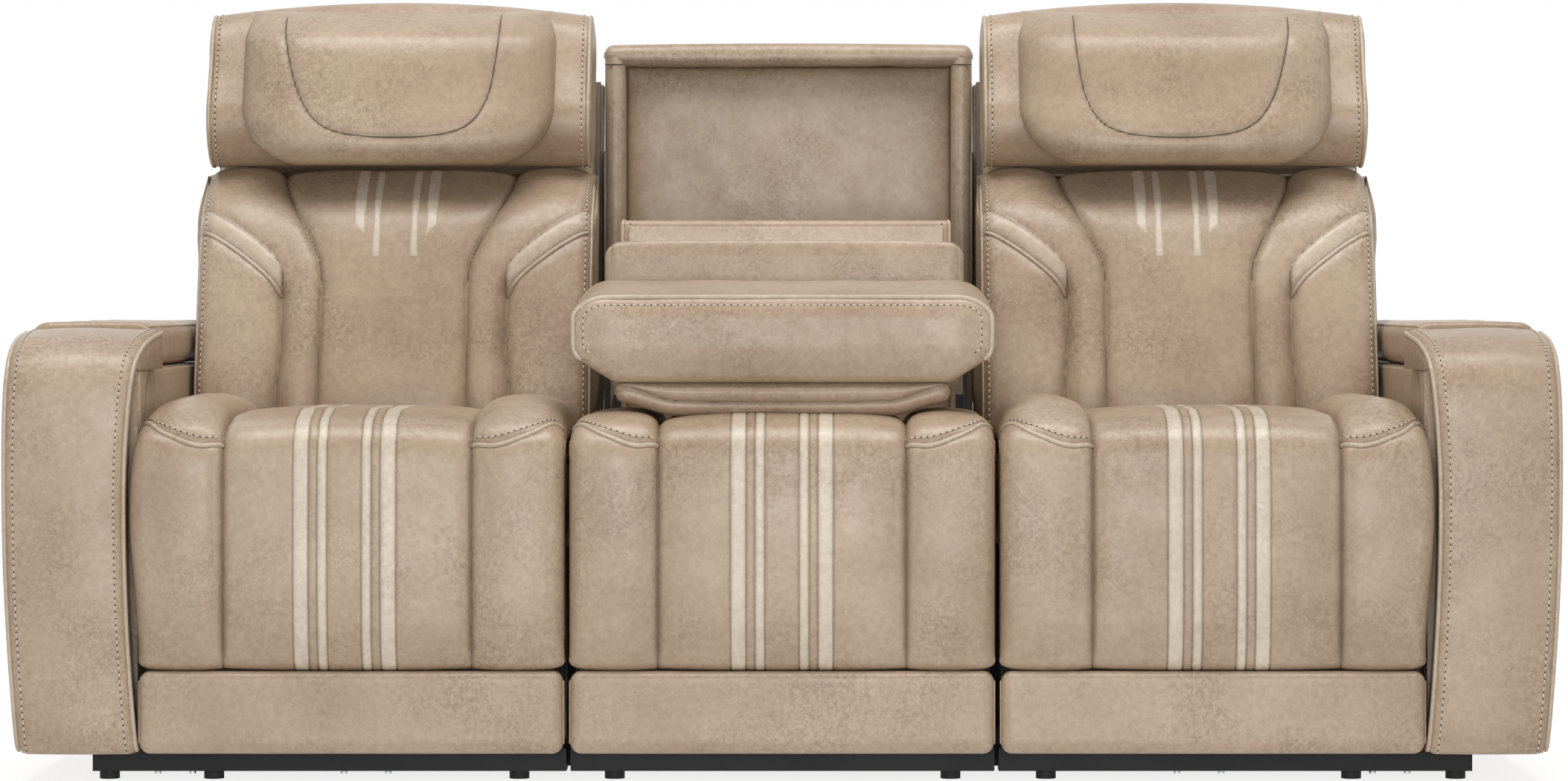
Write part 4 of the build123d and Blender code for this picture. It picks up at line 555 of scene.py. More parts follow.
# Taupe leather painted lighter, as the highlight on the rounded piping
PIPING_HIGHLIGHT = leather("piping_highlight_leather", (0.46, 0.37, 0.272), (0.58, 0.484, 0.374), (0.35, 0.265, 0.187))
# Dark rear leather: the rear shell's own edge, and dark sheets standing in for shadow in gaps
DARK_EDGE_AND_SHADOW_LEATHER = leather("dark_edge_and_shadow_leather", *REAR_COLOURS)
THREAD = thread("tan_thread", (0.7, 0.61, 0.5))
HOLE = thread("needle_holes", (0.075, 0.05, 0.032))
SEAM = thread("seam_lines", (0.1, 0.07, 0.045))
PART_MATERIALS = {
    "taupe_leather": leather("part_leather", *TAN_COLOURS, own_place=True),
    "rear_cover": leather("rear_leather", *REAR_COLOURS, own_place=True),
    "plywood": plywood("plywood"),
    "black_steel": painted("black_steel", (0.01, 0.01, 0.0105), 0.42, sheen=0.2),
    "zinc": painted("zinc_plate", (0.55, 0.56, 0.58), 0.36, 1.0),
    "cup_steel": brushed("cup_steel", (0.62, 0.62, 0.63), 0.3),
    "black_plastic": painted("black_plastic", (0.014, 0.014, 0.015), 0.55, sheen=0.25),
    "switch_plastic": painted("switch_plastic", (0.055, 0.055, 0.058), 0.38),
}


def dress_parts():
    """A material on every part, by its slot."""
    for row in frame["record"]["subparts"]:
        node = frame["nodes"][row["node"]]
        node.data.materials.clear()
        node.data.materials.append(PART_MATERIALS[row["material_slot"]])


def upholster(obj, body, *nodes, fill=0.75):
    """A sewn piece: rides on a body and stands for soft solids."""
    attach(obj, body)
    if nodes:
        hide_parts(*nodes)


def trim(obj, body):
    """A sewn detail: rides on a body."""
    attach(obj, body)


def piping(name, path, body, radius=PIPING_RADIUS):
    """Leather cord sewn along an edge, in leather painted lighter as its highlight."""
    trim(tube(name, path, radius, PIPING_HIGHLIGHT), body)


def seam_line(name, path, body):
    """Dark line of a turned-in seam, half sunk in the leather."""
    trim(tube(name, path, SEAM_RADIUS, SEAM, 6), body)


class Strip:
    """A cover that follows a path of depths and heights."""

    def follow(self, points, step):
        """Sets the path, the distance along it and the direction square to it."""
        self.path = spline(points, step)
        self.length = run_of(self.path)
        tangent = unit(np.gradient(self.path, axis=0))
        self.normal = np.stack([-tangent[:, 1], tangent[:, 0]], axis=1)

    def at(self, s):
        """Depth, height and outward direction at a distance along the path."""
        y, z, ny, nz = (np.interp(s, self.length, line) for line in (*self.path.T, *self.normal.T))
        return y, z, spots_of(0.0, ny, nz)


# Seats with their waterfall footrests

SEAT_HALF = 306.0
SEAT_ROWS = 3.4
SEAT_CROWN = 522.0
FOLDED_CROWN = 514.0
CHANNEL_SEAM = 178.0
WIDE_STRIPE = (51.7, 73.3)
NARROW_STRIPE = (24.7, 38.5)
SEAT_EDGE_ROUND = 26.0
COVER_THICK = 32.0
# Painted shade on the seat cover's inner rings, its sides and underside
INNER_SHADE = 0.4
SEAT_SWELL = 10.0
BOLSTER = 27.0
FOLDED_BOLSTER = 14.0
FRONT_BOLSTER = 12.0
STRIPE_SEAM_DEPTH = 1.5
STRIPE_SEAM_WIDTH = 1.3
SEAT_BULGE = 14.0
SEAT_PATTERN_SHIFT = 8.0
SEAT_BULGE_HEIGHT = 390.0
SEAT_BULGE_REACH = 125.0
SEAT_BULGE_START = -380.0
SEAT_BULGE_FADE = 60.0
# Gusset over a bolster: distance from the middle, and height over the nose
GUSSET = ((SEAT_HALF - 5, 2), (272.0, -13), (240.0, -26), (208.0, -33), (CHANNEL_SEAM + 1, -28))
# Here and below, a crease is its depth and its width
GUSSET_CREASE = (5.0, 6.0)


class SeatCover(Strip):
    """One continuous strip from the rear of the seat over the rounded front down to the footrest's foot."""

    def __init__(self, name):
        low, high = box_mm(f"{name}_seat_cushion")
        pad_low, pad_high = box_mm(f"{name}_footrest_pad")
        self.center = (low[0] + high[0]) / 2
        self.folded = name == "center"
        self.outer_side = SIDES.get(name, 0)
        crown = FOLDED_CROWN if self.folded else SEAT_CROWN
        front, foot, rear, nose = pad_low[1], pad_low[2], high[1], pad_high[2]
        self.follow(
            [
                (rear + 14, crown - 66), (rear + 10, crown - 34), (rear - 12, crown - 10),
                (rear - 90, crown), (rear - 250, crown + 3), (front + 120, crown + 3),
                (front + 72, nose + 4), (front + 38, nose - 3), (front + 13, nose - 18),
                (front + 1, nose - 45), (front - 2, nose - 110), (front - 3, nose - 210),
                (front, nose - 290), (front + 5, foot + 24), (front + 14, foot + 3), (front + 30, foot),
            ],
            SEAT_ROWS,
        )
        self.normal *= np.sign(self.normal[len(self.normal) // 4, 1])
        self.turn = self.length[np.argmax(self.path[:, 0] < front + 60)]
        ahead = self.length > self.turn

        def at_height(z):
            """Place along the front of the path."""
            return np.interp(-z, -self.path[ahead, 1], self.length[ahead])

        self.gusset = spline([(x, at_height(nose + rise)) for x, rise in GUSSET], 6.0)

    def swell(self, x, s):
        """Height of the padding over the path, and the shade of its seams."""
        across = np.abs(x)
        from_seam = np.abs(across - CHANNEL_SEAM)
        top = 1 - smooth((s - self.turn + 70) / 150)
        left = self.length[-1] - s
        foot = smooth(left / 90) * smooth(s / 60)
        main = SEAT_SWELL * (1 - (across / CHANNEL_SEAM) ** 4)
        share = np.clip((across - CHANNEL_SEAM) / (SEAT_HALF - CHANNEL_SEAM), 0, 1)
        crown = (FOLDED_BOLSTER if self.folded else BOLSTER) * top + FRONT_BOLSTER * (1 - top)
        bolster = crown * np.sin(math.pi * share**0.85) ** 0.7
        height = np.where(across < CHANNEL_SEAM, main, bolster) * (0.25 + 0.75 * foot)
        height = height - 8.0 * crease(from_seam, 1.0, 5.5) * smooth((left - 6) / 40)
        over = np.clip(across - (SEAT_HALF - SEAT_EDGE_ROUND), 0, SEAT_EDGE_ROUND)
        height = height - rounded_over(over, SEAT_EDGE_ROUND) * (0.35 + 0.65 * smooth(left / 60))
        line = np.zeros_like(height)
        for edge in WIDE_STRIPE + NARROW_STRIPE:
            line = np.maximum(line, bell((across - edge) / STRIPE_SEAM_WIDTH))
        height = height - STRIPE_SEAM_DEPTH * line
        gusset = distance_to_path(across, s, self.gusset)
        height = height - crease(gusset, *GUSSET_CREASE)
        height = height + 1.6 * ripple(x, s, 150.0, 1 + self.center / 300) * foot
        pucker = np.sin(s / 7.5 + 0.7 * np.sin(s / 31)) * fade(from_seam, 14)
        height = height + 0.5 * pucker * foot
        shade = np.maximum(0.95 * fade(from_seam, 1.9), 0.8 * line)
        return height, np.maximum(shade, 0.7 * fade(gusset, 3.0))

    def spread(self, x, y, z):
        """Sideways shift: the sewn pattern sits outward, and the outer bolster swells toward the arm."""
        pattern = self.outer_side * SEAT_PATTERN_SHIFT * (1 - (x / SEAT_HALF) ** 2)
        low = bell((z - SEAT_BULGE_HEIGHT) / SEAT_BULGE_REACH)
        share = np.clip((self.outer_side * x - CHANNEL_SEAM) / (SEAT_HALF - CHANNEL_SEAM), 0, 1)
        ahead = smooth((SEAT_BULGE_START - y) / SEAT_BULGE_FADE)
        return pattern + self.outer_side * SEAT_BULGE * low * share * ahead

    def point(self, x, s, lift=0.0):
        """Place on the cover, and the outward direction there."""
        x, s = np.broadcast_arrays(np.asarray(x, float), np.asarray(s, float))
        height, _ = self.swell(x, s)
        y, z, out = self.at(s)
        spot = spots_of(x + self.spread(x, y, z) + self.center, y, z)
        return spot + out * (height + lift)[..., None], out

    def columns(self):
        """Lines across the seat, close together at seams and stripe edges."""
        half = [0.0]
        edges = (0.0, *NARROW_STRIPE, *WIDE_STRIPE, CHANNEL_SEAM, SEAT_HALF)
        for a, b in zip(edges[:-1], edges[1:]):
            count = max(6, int((b - a) / 4.5))
            t = np.linspace(0, 1, count + 1)[1:]
            near = 0.5 - 0.5 * np.cos(math.pi * t)
            half += list(a + (b - a) * (0.35 * t + 0.65 * near))
        half = np.array(half)
        return np.concatenate([-half[:0:-1], half])

    def build(self, name):
        """The cover, with its cream stripes."""
        columns = self.columns()
        s = self.length[:, None]
        spots, _ = self.point(columns[None, :], s)
        _, shade = self.swell(*np.broadcast_arrays(columns[None, :], s))
        inner = []
        rim = SEAT_HALF - 2
        for x, depth in ((SEAT_HALF, 0.55), (rim, 1.0), (0.0, 1.0), (-rim, 1.0), (-SEAT_HALF, 0.55)):
            y, z = (self.path - self.normal * (COVER_THICK * depth + SEAT_EDGE_ROUND * (depth < 1))).T
            inner.append(spots_of(x + self.spread(x, *self.path.T) + self.center, y, z)[:, None])
        rings = np.concatenate([spots] + inner, axis=1)
        painted_shade = np.concatenate([shade, np.full((len(self.path), len(inner)), INNER_SHADE)], axis=1)
        middle = np.abs((columns[1:] + columns[:-1]) / 2)
        cream = sum(((middle > a) & (middle < b)).astype(int) for a, b in (WIDE_STRIPE, NARROW_STRIPE))
        slots = np.concatenate([cream, np.zeros(len(inner) + 1, int)])
        return loft(f"{name}_seat_cover", rings, [TAN, CREAM], slots, painted_shade)


def bend(obj):
    """Bakes the object's place into its points."""
    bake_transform(obj)


def make_seats():
    """Three seat covers with piped gussets, and the pads below them."""
    for name in SECTIONS:
        cover = SeatCover(name)
        obj = cover.build(name)
        bend(obj)
        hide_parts(f"{name}_seat_cushion", f"{name}_footrest_pad")
        line = resample(cover.gusset, 4.0)
        rows = []
        for side, tag in TAGS.items():
            path, _ = cover.point(side * line[:, 0], line[:, 1], 1.2)
            bend(tube(f"{name}_gusset_piping_{tag}", path, PIPING_RADIUS, PIPING_HIGHLIGHT))
            rows.append(cover.point(side * (line[2:-2, 0] - 1), line[2:-2, 1] - 10, 0.4))
        bend(stitches(f"{name}_gusset_stitching", rows))
        make_lower_pad(name, cover.center)


def make_lower_pad(name, center):
    """Pad along the foot of a footrest."""
    low, high = box_mm(f"{name}_footrest_lower_pad")
    half = SEAT_HALF - 2
    outline = section(rectangle(low[1] - 3, low[2], high[1], high[2]), (22.0, 4.0, 4.0, 12.0), 14.0, 6.0)

    def shape(rings):
        x = rings[..., 0] - center
        facing = smooth((high[1] - rings[..., 1]) / (high[1] - low[1]))
        swell = 3.0 * (1 - (x / half) ** 4) + 0.9 * ripple(x, rings[..., 2], 170.0, 4 + center / 500)
        rings[..., 1] -= swell * facing

    span = (center - half, center + half)
    pad = soft_bar(f"{name}_footrest_apron", "X", span, outline, (16.0, 16.0), 7.0, shape)
    upholster(pad, f"{name}_footrest", f"{name}_footrest_lower_pad")


# Outer backs

BACK_HALF = 308.0
BACK_ROWS = 3.0
BACK_COLUMNS = 2.8
BACK_EDGE_ROUND = 24
BACK_TOP_DROP = 4.0
BACK_EDGE_PIPING = 2.6
# Front of a back, as depth and height
BACK_FRONT = (
    (74, 445), (72, 500), (78, 560), (101, 640), (125, 720), (142, 770), (161, 812), (186, 842), (219, 865),
)
BACK_TOP_Y = 262
# Seam beside the centre panel, as height and distance from the middle
PANEL_SEAM = (
    (445, 116), (581, 115), (650, 114), (715, 113.5), (754, 118), (803, 140), (865, 175), (900, 186),
)
# Edges of the band and the seam below it, as distance from the middle and height
BAND_TOP = ((299, 832), (268, 816), (236, 796), (206, 774), (183, 752), (173, 730), (176, 704))
BAND_FOOT = ((299, 800), (262, 777), (225, 750), (194, 724), (176, 702))
SIDE_SEAM = ((176, 702), (174, 630), (180, 556), (183, 445))
BAND_INNER = 176
BAND_SWELL = 2.5
PANEL_SWELL = 11.0
CHANNEL_SWELL = 11.0
WING_SWELL = 14.0
SHOULDER_SWELL = 15.0
PANEL_CREASE = (7.0, 5.0)
BAND_TOP_CREASE = (3.5, 4.0)
BAND_FOOT_CREASE = (6.5, 7.0)
SIDE_CREASE = (11.0, 9.0)
# Heights on a back: the panel seam, the trims up the edges, the bulge of the flanks, the top of the wings,
# and the top of the small folds at the foot
PANEL_SPAN = (440, 905)
BACK_TRIM_SPAN = (470, 886)
FLANK_SPAN = (450, 900)
WING_TOP = 680
FOLDS_TOP = 560
BACK_STRIPES = {"wide": ((47.0, 66.0), (789.0, 804.0)), "narrow": ((23.0, 36.0), (755.0, 755.0))}
# Flank of a back: share of the way to the rear, and share of the bulge
FLANK = ((0.12, 0.5), (0.3, 0.9), (0.5, 1.0), (0.7, 0.9), (0.88, 0.55), (1.0, 0.0))
SHELL_THICK = 28.0
SHELL_LEAN = 72.0
SHELL_EDGE_X = 302.3
SHELL_EDGE_RADIUS = 5.0
WRAP_HALF = 298.0
WRAP_FOOT = 452.0


class BackCushion:
    """Outer back: flaring centre panel, side channels, a band each side painted lighter as a highlight, and
    bulged flanks.
    """

    def __init__(self, name):
        low, high = box_mm(f"{name}_back_cushion")
        self.name = name
        self.center = (low[0] + high[0]) / 2
        self.low, self.high = low[2], high[2] - BACK_TOP_DROP
        self.front_path = spline([*BACK_FRONT, (BACK_TOP_Y, self.high)], 3.0)
        self.rear_foot = high[1] - math.tan(BACK_LEAN) * (high[2] - low[2])
        self.band_top = spline(BAND_TOP, 6.0)
        self.band_foot = spline(BAND_FOOT, 6.0)
        self.side_seam = spline(SIDE_SEAM, 8.0)

    def rear(self, z):
        """Rear of the cushion at a height."""
        return self.rear_foot + (z - self.low) * math.tan(BACK_LEAN)

    def in_band(self, across, z):
        """Between the band's upper and lower edges."""
        top = np.interp(across, *self.band_top[::-1].T)
        foot = np.interp(across, *self.band_foot[::-1].T)
        return (across > BAND_INNER) & (z < top) & (z > foot)

    def swell(self, x, z):
        """How far the padding stands forward of the plain front, and the shade of its seams."""
        across = np.abs(x)
        seam_z, seam_x = zip(*PANEL_SEAM)
        panel = np.interp(z, seam_z, seam_x)
        levels = np.arange(*PANEL_SPAN, 1.0)
        lean = np.interp(z, levels, np.gradient(np.interp(levels, seam_z, seam_x)))
        from_panel = np.abs(across - panel) / np.sqrt(1 + lean**2)
        from_top = distance_to_path(across, z, self.band_top)
        from_foot = distance_to_path(across, z, self.band_foot)
        from_side = distance_to_path(across, z, self.side_seam)
        side_x, side_z = self.side_seam[::-1].T
        side = np.interp(z, side_z, side_x)
        height = PANEL_SWELL * np.clip(1 - (across / np.maximum(panel, 1)) ** 4, 0, 1)
        flank = np.clip((across - panel) / np.maximum(BACK_HALF - panel, 1), 0, 1)
        channel = np.clip((across - panel) / np.maximum(side - panel, 1), 0, 1)
        wing = np.clip((across - side) / np.maximum(BACK_HALF - side, 1), 0, 1)
        low_part = CHANNEL_SWELL * np.sin(math.pi * channel) ** 0.8
        low_part = low_part + WING_SWELL * np.sin(math.pi * wing) ** 0.7
        whole = smooth((z - WING_TOP) / 70)
        height = height + whole * SHOULDER_SWELL * np.sin(math.pi * flank) ** 0.7 + (1 - whole) * low_part
        height = height - crease(from_panel, *PANEL_CREASE)
        height = height + np.where(self.in_band(across, z), BAND_SWELL, 0.0)
        height = height - crease(from_top, *BAND_TOP_CREASE) - crease(from_foot, *BAND_FOOT_CREASE)
        height = height - crease(from_side, *SIDE_CREASE)
        over = np.clip(across - (BACK_HALF - BACK_EDGE_ROUND), 0, BACK_EDGE_ROUND)
        height = height - 1.1 * rounded_over(over, BACK_EDGE_ROUND)
        uneven = 1.6 * ripple(x, z, 170.0, 7 + self.center / 400)
        height = height + uneven * smooth((BACK_HALF - across) / 60)
        height = height + smooth((FOLDS_TOP - z) / 110) * np.sin(z / 13.0 + 0.012 * x) * 0.5
        shades = (
            0.95 * fade(from_panel, 1.6), 0.7 * fade(from_top, 1.5), 0.85 * fade(from_foot, 2.2),
            0.9 * fade(from_side, 1.8),
        )
        return height, np.maximum.reduce(shades)

    def point(self, x, z, lift=0.0):
        """Place on the front of the back, and the outward direction there."""
        x, z = np.broadcast_arrays(np.asarray(x, float), np.asarray(z, float))
        height, _ = self.swell(x, z)
        front_y, front_z = self.front_path.T
        lean = np.interp(z, front_z, np.gradient(front_y) / np.gradient(front_z))
        out = unit(spots_of(0.0, -1.0, lean))
        spot = spots_of(x + self.center, np.interp(z, front_z, front_y), z)
        return spot + out * (height + lift)[..., None], out

    def build(self):
        """The cover, with its bands in leather painted lighter as a highlight, and bulged flanks."""
        z = np.linspace(self.low, self.high, int((self.high - self.low) / BACK_ROWS) + 1)
        x = np.linspace(-BACK_HALF, BACK_HALF, int(2 * BACK_HALF / BACK_COLUMNS) + 1)
        spots, _ = self.point(x[None, :], z[:, None])
        grid_x, grid_z = np.meshgrid(x, z)
        _, shade = self.swell(grid_x, grid_z)
        foot, top = FLANK_SPAN
        bulge = smooth((z - foot) / 120) * smooth((top - z) / 80)
        toward_middle = 3.8 + 11.0 * smooth((700 - z) / 80)
        toward_arm = 4.5 + 5.0 * smooth((z - 745) / 50)
        edge_y = spots[:, -1, 1]
        flanks = []
        for side in (1, -1):
            reach = toward_arm if side * self.center > 0 else toward_middle
            for share, out in FLANK[::side]:
                y = edge_y + (self.rear(z) - edge_y) * share
                edge_x = self.center + side * (BACK_HALF + 1) + side * (reach * (out * bulge))
                flanks.append(spots_of(edge_x, y, z)[:, None])
        rings = np.concatenate([spots] + flanks, axis=1)
        painted_shade = np.concatenate([shade, np.zeros((len(z), len(flanks)))], axis=1)
        middle_x = np.abs((grid_x[:-1, 1:] + grid_x[:-1, :-1]) / 2)
        middle_z = (grid_z[1:, 1:] + grid_z[:-1, 1:]) / 2
        band = self.in_band(middle_x, middle_z).astype(int)
        plain = np.zeros((len(z) - 1, rings.shape[1] - band.shape[1]), int)
        slots = np.concatenate([band, plain], axis=1)
        return loft(f"{self.name}_back_cover", rings, [TAN, BAND_HIGHLIGHT_TAN], slots, painted_shade)

    def stripe(self, edges, ends, side):
        """Rings of a cream strip sewn on the centre panel, with a cut end that may slant."""
        columns = np.linspace(*edges, 9)
        width = edges[1] - edges[0]
        share = (columns - edges[0]) / width
        cut = ends[0] + (ends[1] - ends[0]) * share
        rows = np.linspace(0, 1, 40)[:, None]
        z = cut[None, :] + (self.high - 2 - cut[None, :]) * rows
        x = side * np.broadcast_to(columns, z.shape)
        rim = np.minimum(np.minimum(share, 1 - share)[None, :] * width, rows * 60)
        front, _ = self.point(x, z, -0.6 + 2.4 * smooth(rim / 3.5))
        back, _ = self.point(x, z, -3.0)
        return np.concatenate([front, back[:, ::-1]], axis=1)


def make_backs():
    """Two outer backs with stripes, seams, piping and stitching."""
    z = np.arange(*BACK_TRIM_SPAN, 4.0)
    for name in SIDES:
        back = BackCushion(name)
        body = f"{name}_back"
        upholster(back.build(), body, f"{name}_back_cushion")
        panel = spline([(x, height) for height, x in PANEL_SEAM], 5.0)
        panel = panel[panel[:, 1] < back.high - 1]
        rows = []
        for side, tag in TAGS.items():
            for kind, (edges, ends) in BACK_STRIPES.items():
                trim(loft(f"{name}_back_{kind}_stripe_{tag}", back.stripe(edges, ends, side), [CREAM]), body)
            for kind, seam in (("panel", panel), ("side", back.side_seam), ("band", back.band_top)):
                line, _ = back.point(side * seam[:, 0], seam[:, 1], -0.2)
                seam_line(f"{name}_back_{kind}_seam_{tag}", line, body)
            path, _ = back.point(side * back.band_foot[:, 0], back.band_foot[:, 1], 1.4)
            piping(f"{name}_band_piping_{tag}", path, body)
            rows.append(back.point(side * (BACK_HALF - 11), z, 0.3))
            edge, _ = back.point(side * (BACK_HALF - 3), z, -1.0)
            piping(f"{name}_back_edge_piping_{tag}", edge, body, BACK_EDGE_PIPING)
        trim(stitches(f"{name}_back_stitching", rows), body)
        make_back_wrap(name, back)


def make_back_wrap(name, back):
    """Cover between the cushion and the rear shell, and the shell's edge beside the recess."""
    low, high = box_mm(f"{name}_back_frame")
    top = high[2] - 6

    def shell_front(z):
        """Front of the leaning rear shell at a height."""
        share = (z - low[2]) / (high[2] - low[2])
        return high[1] - (1 - share) * SHELL_LEAN - SHELL_THICK - 1

    corners = [
        (back.rear(WRAP_FOOT) - 12, WRAP_FOOT), (shell_front(WRAP_FOOT), WRAP_FOOT), (shell_front(top), top),
        (shell_front(top) - 52, top), (back.rear(900) + 36, 905), (back.rear(880) - 10, 880),
    ]
    outline = section(corners, (8.0, 4.0, 14.0, 20.0, 10.0, 6.0), 20.0, 12.0, 5)

    def shape(rings):
        x = rings[..., 0] - back.center
        near_end = smooth((np.abs(x) - WRAP_HALF + 30) / 30)
        rings[..., 0] += 2.0 * np.sign(x) * near_end * ripple(rings[..., 2], rings[..., 1], 120.0, 3)

    span = (back.center - WRAP_HALF, back.center + WRAP_HALF)
    upholster(soft_bar(f"{name}_back_wrap", "X", span, outline, (10.0, 10.0), 24.0, shape), f"{name}_back")
    edge_z = np.array([low[2] + 6, high[2] - 8])
    path = spots_of(SIDES[name] * SHELL_EDGE_X, shell_front(edge_z) + SHELL_THICK / 2, edge_z)
    edge = tube(f"{name}_shell_edge", resample(path, 30.0), SHELL_EDGE_RADIUS, DARK_EDGE_AND_SHADOW_LEATHER, 14)
    trim(edge, f"{name}_back")


# Headrests

HEAD_HALF = 303.0
HEAD_FOOT_RADIUS = 72.0
HEAD_TOP_RADIUS = 56.0
HEAD_RISE = 124.0
HEAD_CROWN = 22.0
HEAD_CROWN_FALL = 6.0
HEAD_PIPING = 3.0
HEAD_WAIST_HEIGHT = 1050
HEAD_WAIST_X = 235
HEAD_WAIST_DEPTH = 5.0
PILLOW_HALF = 246.0
PILLOW_FOOT_HALF = 196.0
PILLOW_FOOT = 904.0
PILLOW_SHOULDER = 1000.0
PILLOW_TOP = 1152.0
PILLOW_THICK = 54.0
PILLOW_TOP_THICKER = 34.0
PILLOW_FALL = 26
PILLOW_FALL_START = 1100
PILLOW_CORNER_HEIGHT = 42.0
PILLOW_CORNER_WIDTH = 46.0
PILLOW_FULL_HEIGHT = 955
PILLOW_FULL = 8.0
PILLOW_CREASE = (3.5, 4.5)
HEAD_SEAM_FOOT = 946
HEAD_SEAM_LEAN = 10.0
HEAD_SEAM = ((165, 1090), (144, 1004), (100, 958), (0, HEAD_SEAM_FOOT))


def hull_outline(foot, head, count=44):
    """Outline of the headrest's two discs and their common flanks, as (Y, Z) points."""
    axis = head - foot
    base = math.atan2(axis[1], axis[0])
    swing = math.acos((HEAD_FOOT_RADIUS - HEAD_TOP_RADIUS) / np.linalg.norm(axis))
    lower = np.linspace(base + swing, base + 2 * math.pi - swing, count)
    upper = np.linspace(base - swing, base + swing, count // 2)
    low_arc = foot + HEAD_FOOT_RADIUS * np.stack([np.cos(lower), np.sin(lower)], axis=1)
    high_arc = head + HEAD_TOP_RADIUS * np.stack([np.cos(upper), np.sin(upper)], axis=1)
    return resample(np.vstack([low_arc, high_arc, low_arc[:1]]), 7.0)[:-1]


def make_headrest(name):
    """Crowned roll with piped and stitched ends, and the pillow on it."""
    low, high = box_mm(f"{name}_headrest_bolster")
    body = f"{name}_headrest"
    center = (low[0] + high[0]) / 2
    foot = np.array([low[1] + HEAD_FOOT_RADIUS, low[2] + HEAD_FOOT_RADIUS])
    head = foot + HEAD_RISE * np.array([math.sin(BACK_LEAN), math.cos(BACK_LEAN)])
    hull = hull_outline(foot, head)
    middle = hull.mean(axis=0)

    def outline(inset):
        away = hull - middle
        reach = np.linalg.norm(away, axis=1)[:, None]
        return middle + away * (1 - inset / np.maximum(reach, 1.0))

    def crown(x, z):
        """Rise of the top toward the middle, and its fall at the ends."""
        return smooth((z - head[1]) / 40) * (HEAD_CROWN * (1 - (x / HEAD_HALF) ** 2) - HEAD_CROWN_FALL)

    def shape(rings):
        x, z = rings[..., 0] - center, rings[..., 2]
        rings[..., 2] += crown(x, z)
        waist = bell((z - HEAD_WAIST_HEIGHT) / 42) * smooth((np.abs(x) - HEAD_WAIST_X) / 60)
        rings[..., 1] += HEAD_WAIST_DEPTH * waist * (rings[..., 1] < middle[0])
        rings[..., 1] += 1.5 * ripple(x, z, 160.0, 5 + center / 300)

    def hoop(inset, reach):
        """Closed line round the roll, and the way out from the roll's middle along it."""
        ring = outline(inset)
        y, z = np.vstack([ring, ring[:1]]).T
        return spots_of(center + reach, y, z + crown(reach, z)), spots_of(0.0, y - middle[0], z - middle[1])

    span = (center - HEAD_HALF, center + HEAD_HALF)
    roll = soft_bar(f"{name}_headrest_roll", "X", span, outline, (13.0, 13.0), 8.0, shape)
    upholster(roll, body, f"{body}_bolster")
    rows = []
    for side, tag in TAGS.items():
        path, _ = hoop(1.2, side * (HEAD_HALF - 5))
        piping(f"{name}_headrest_piping_{tag}", path, body, HEAD_PIPING)
        rows.append(hoop(-0.3, side * (HEAD_HALF - 15)))
    trim(stitches(f"{name}_headrest_stitching", rows), body)
    make_pillow(name, center, foot, head)


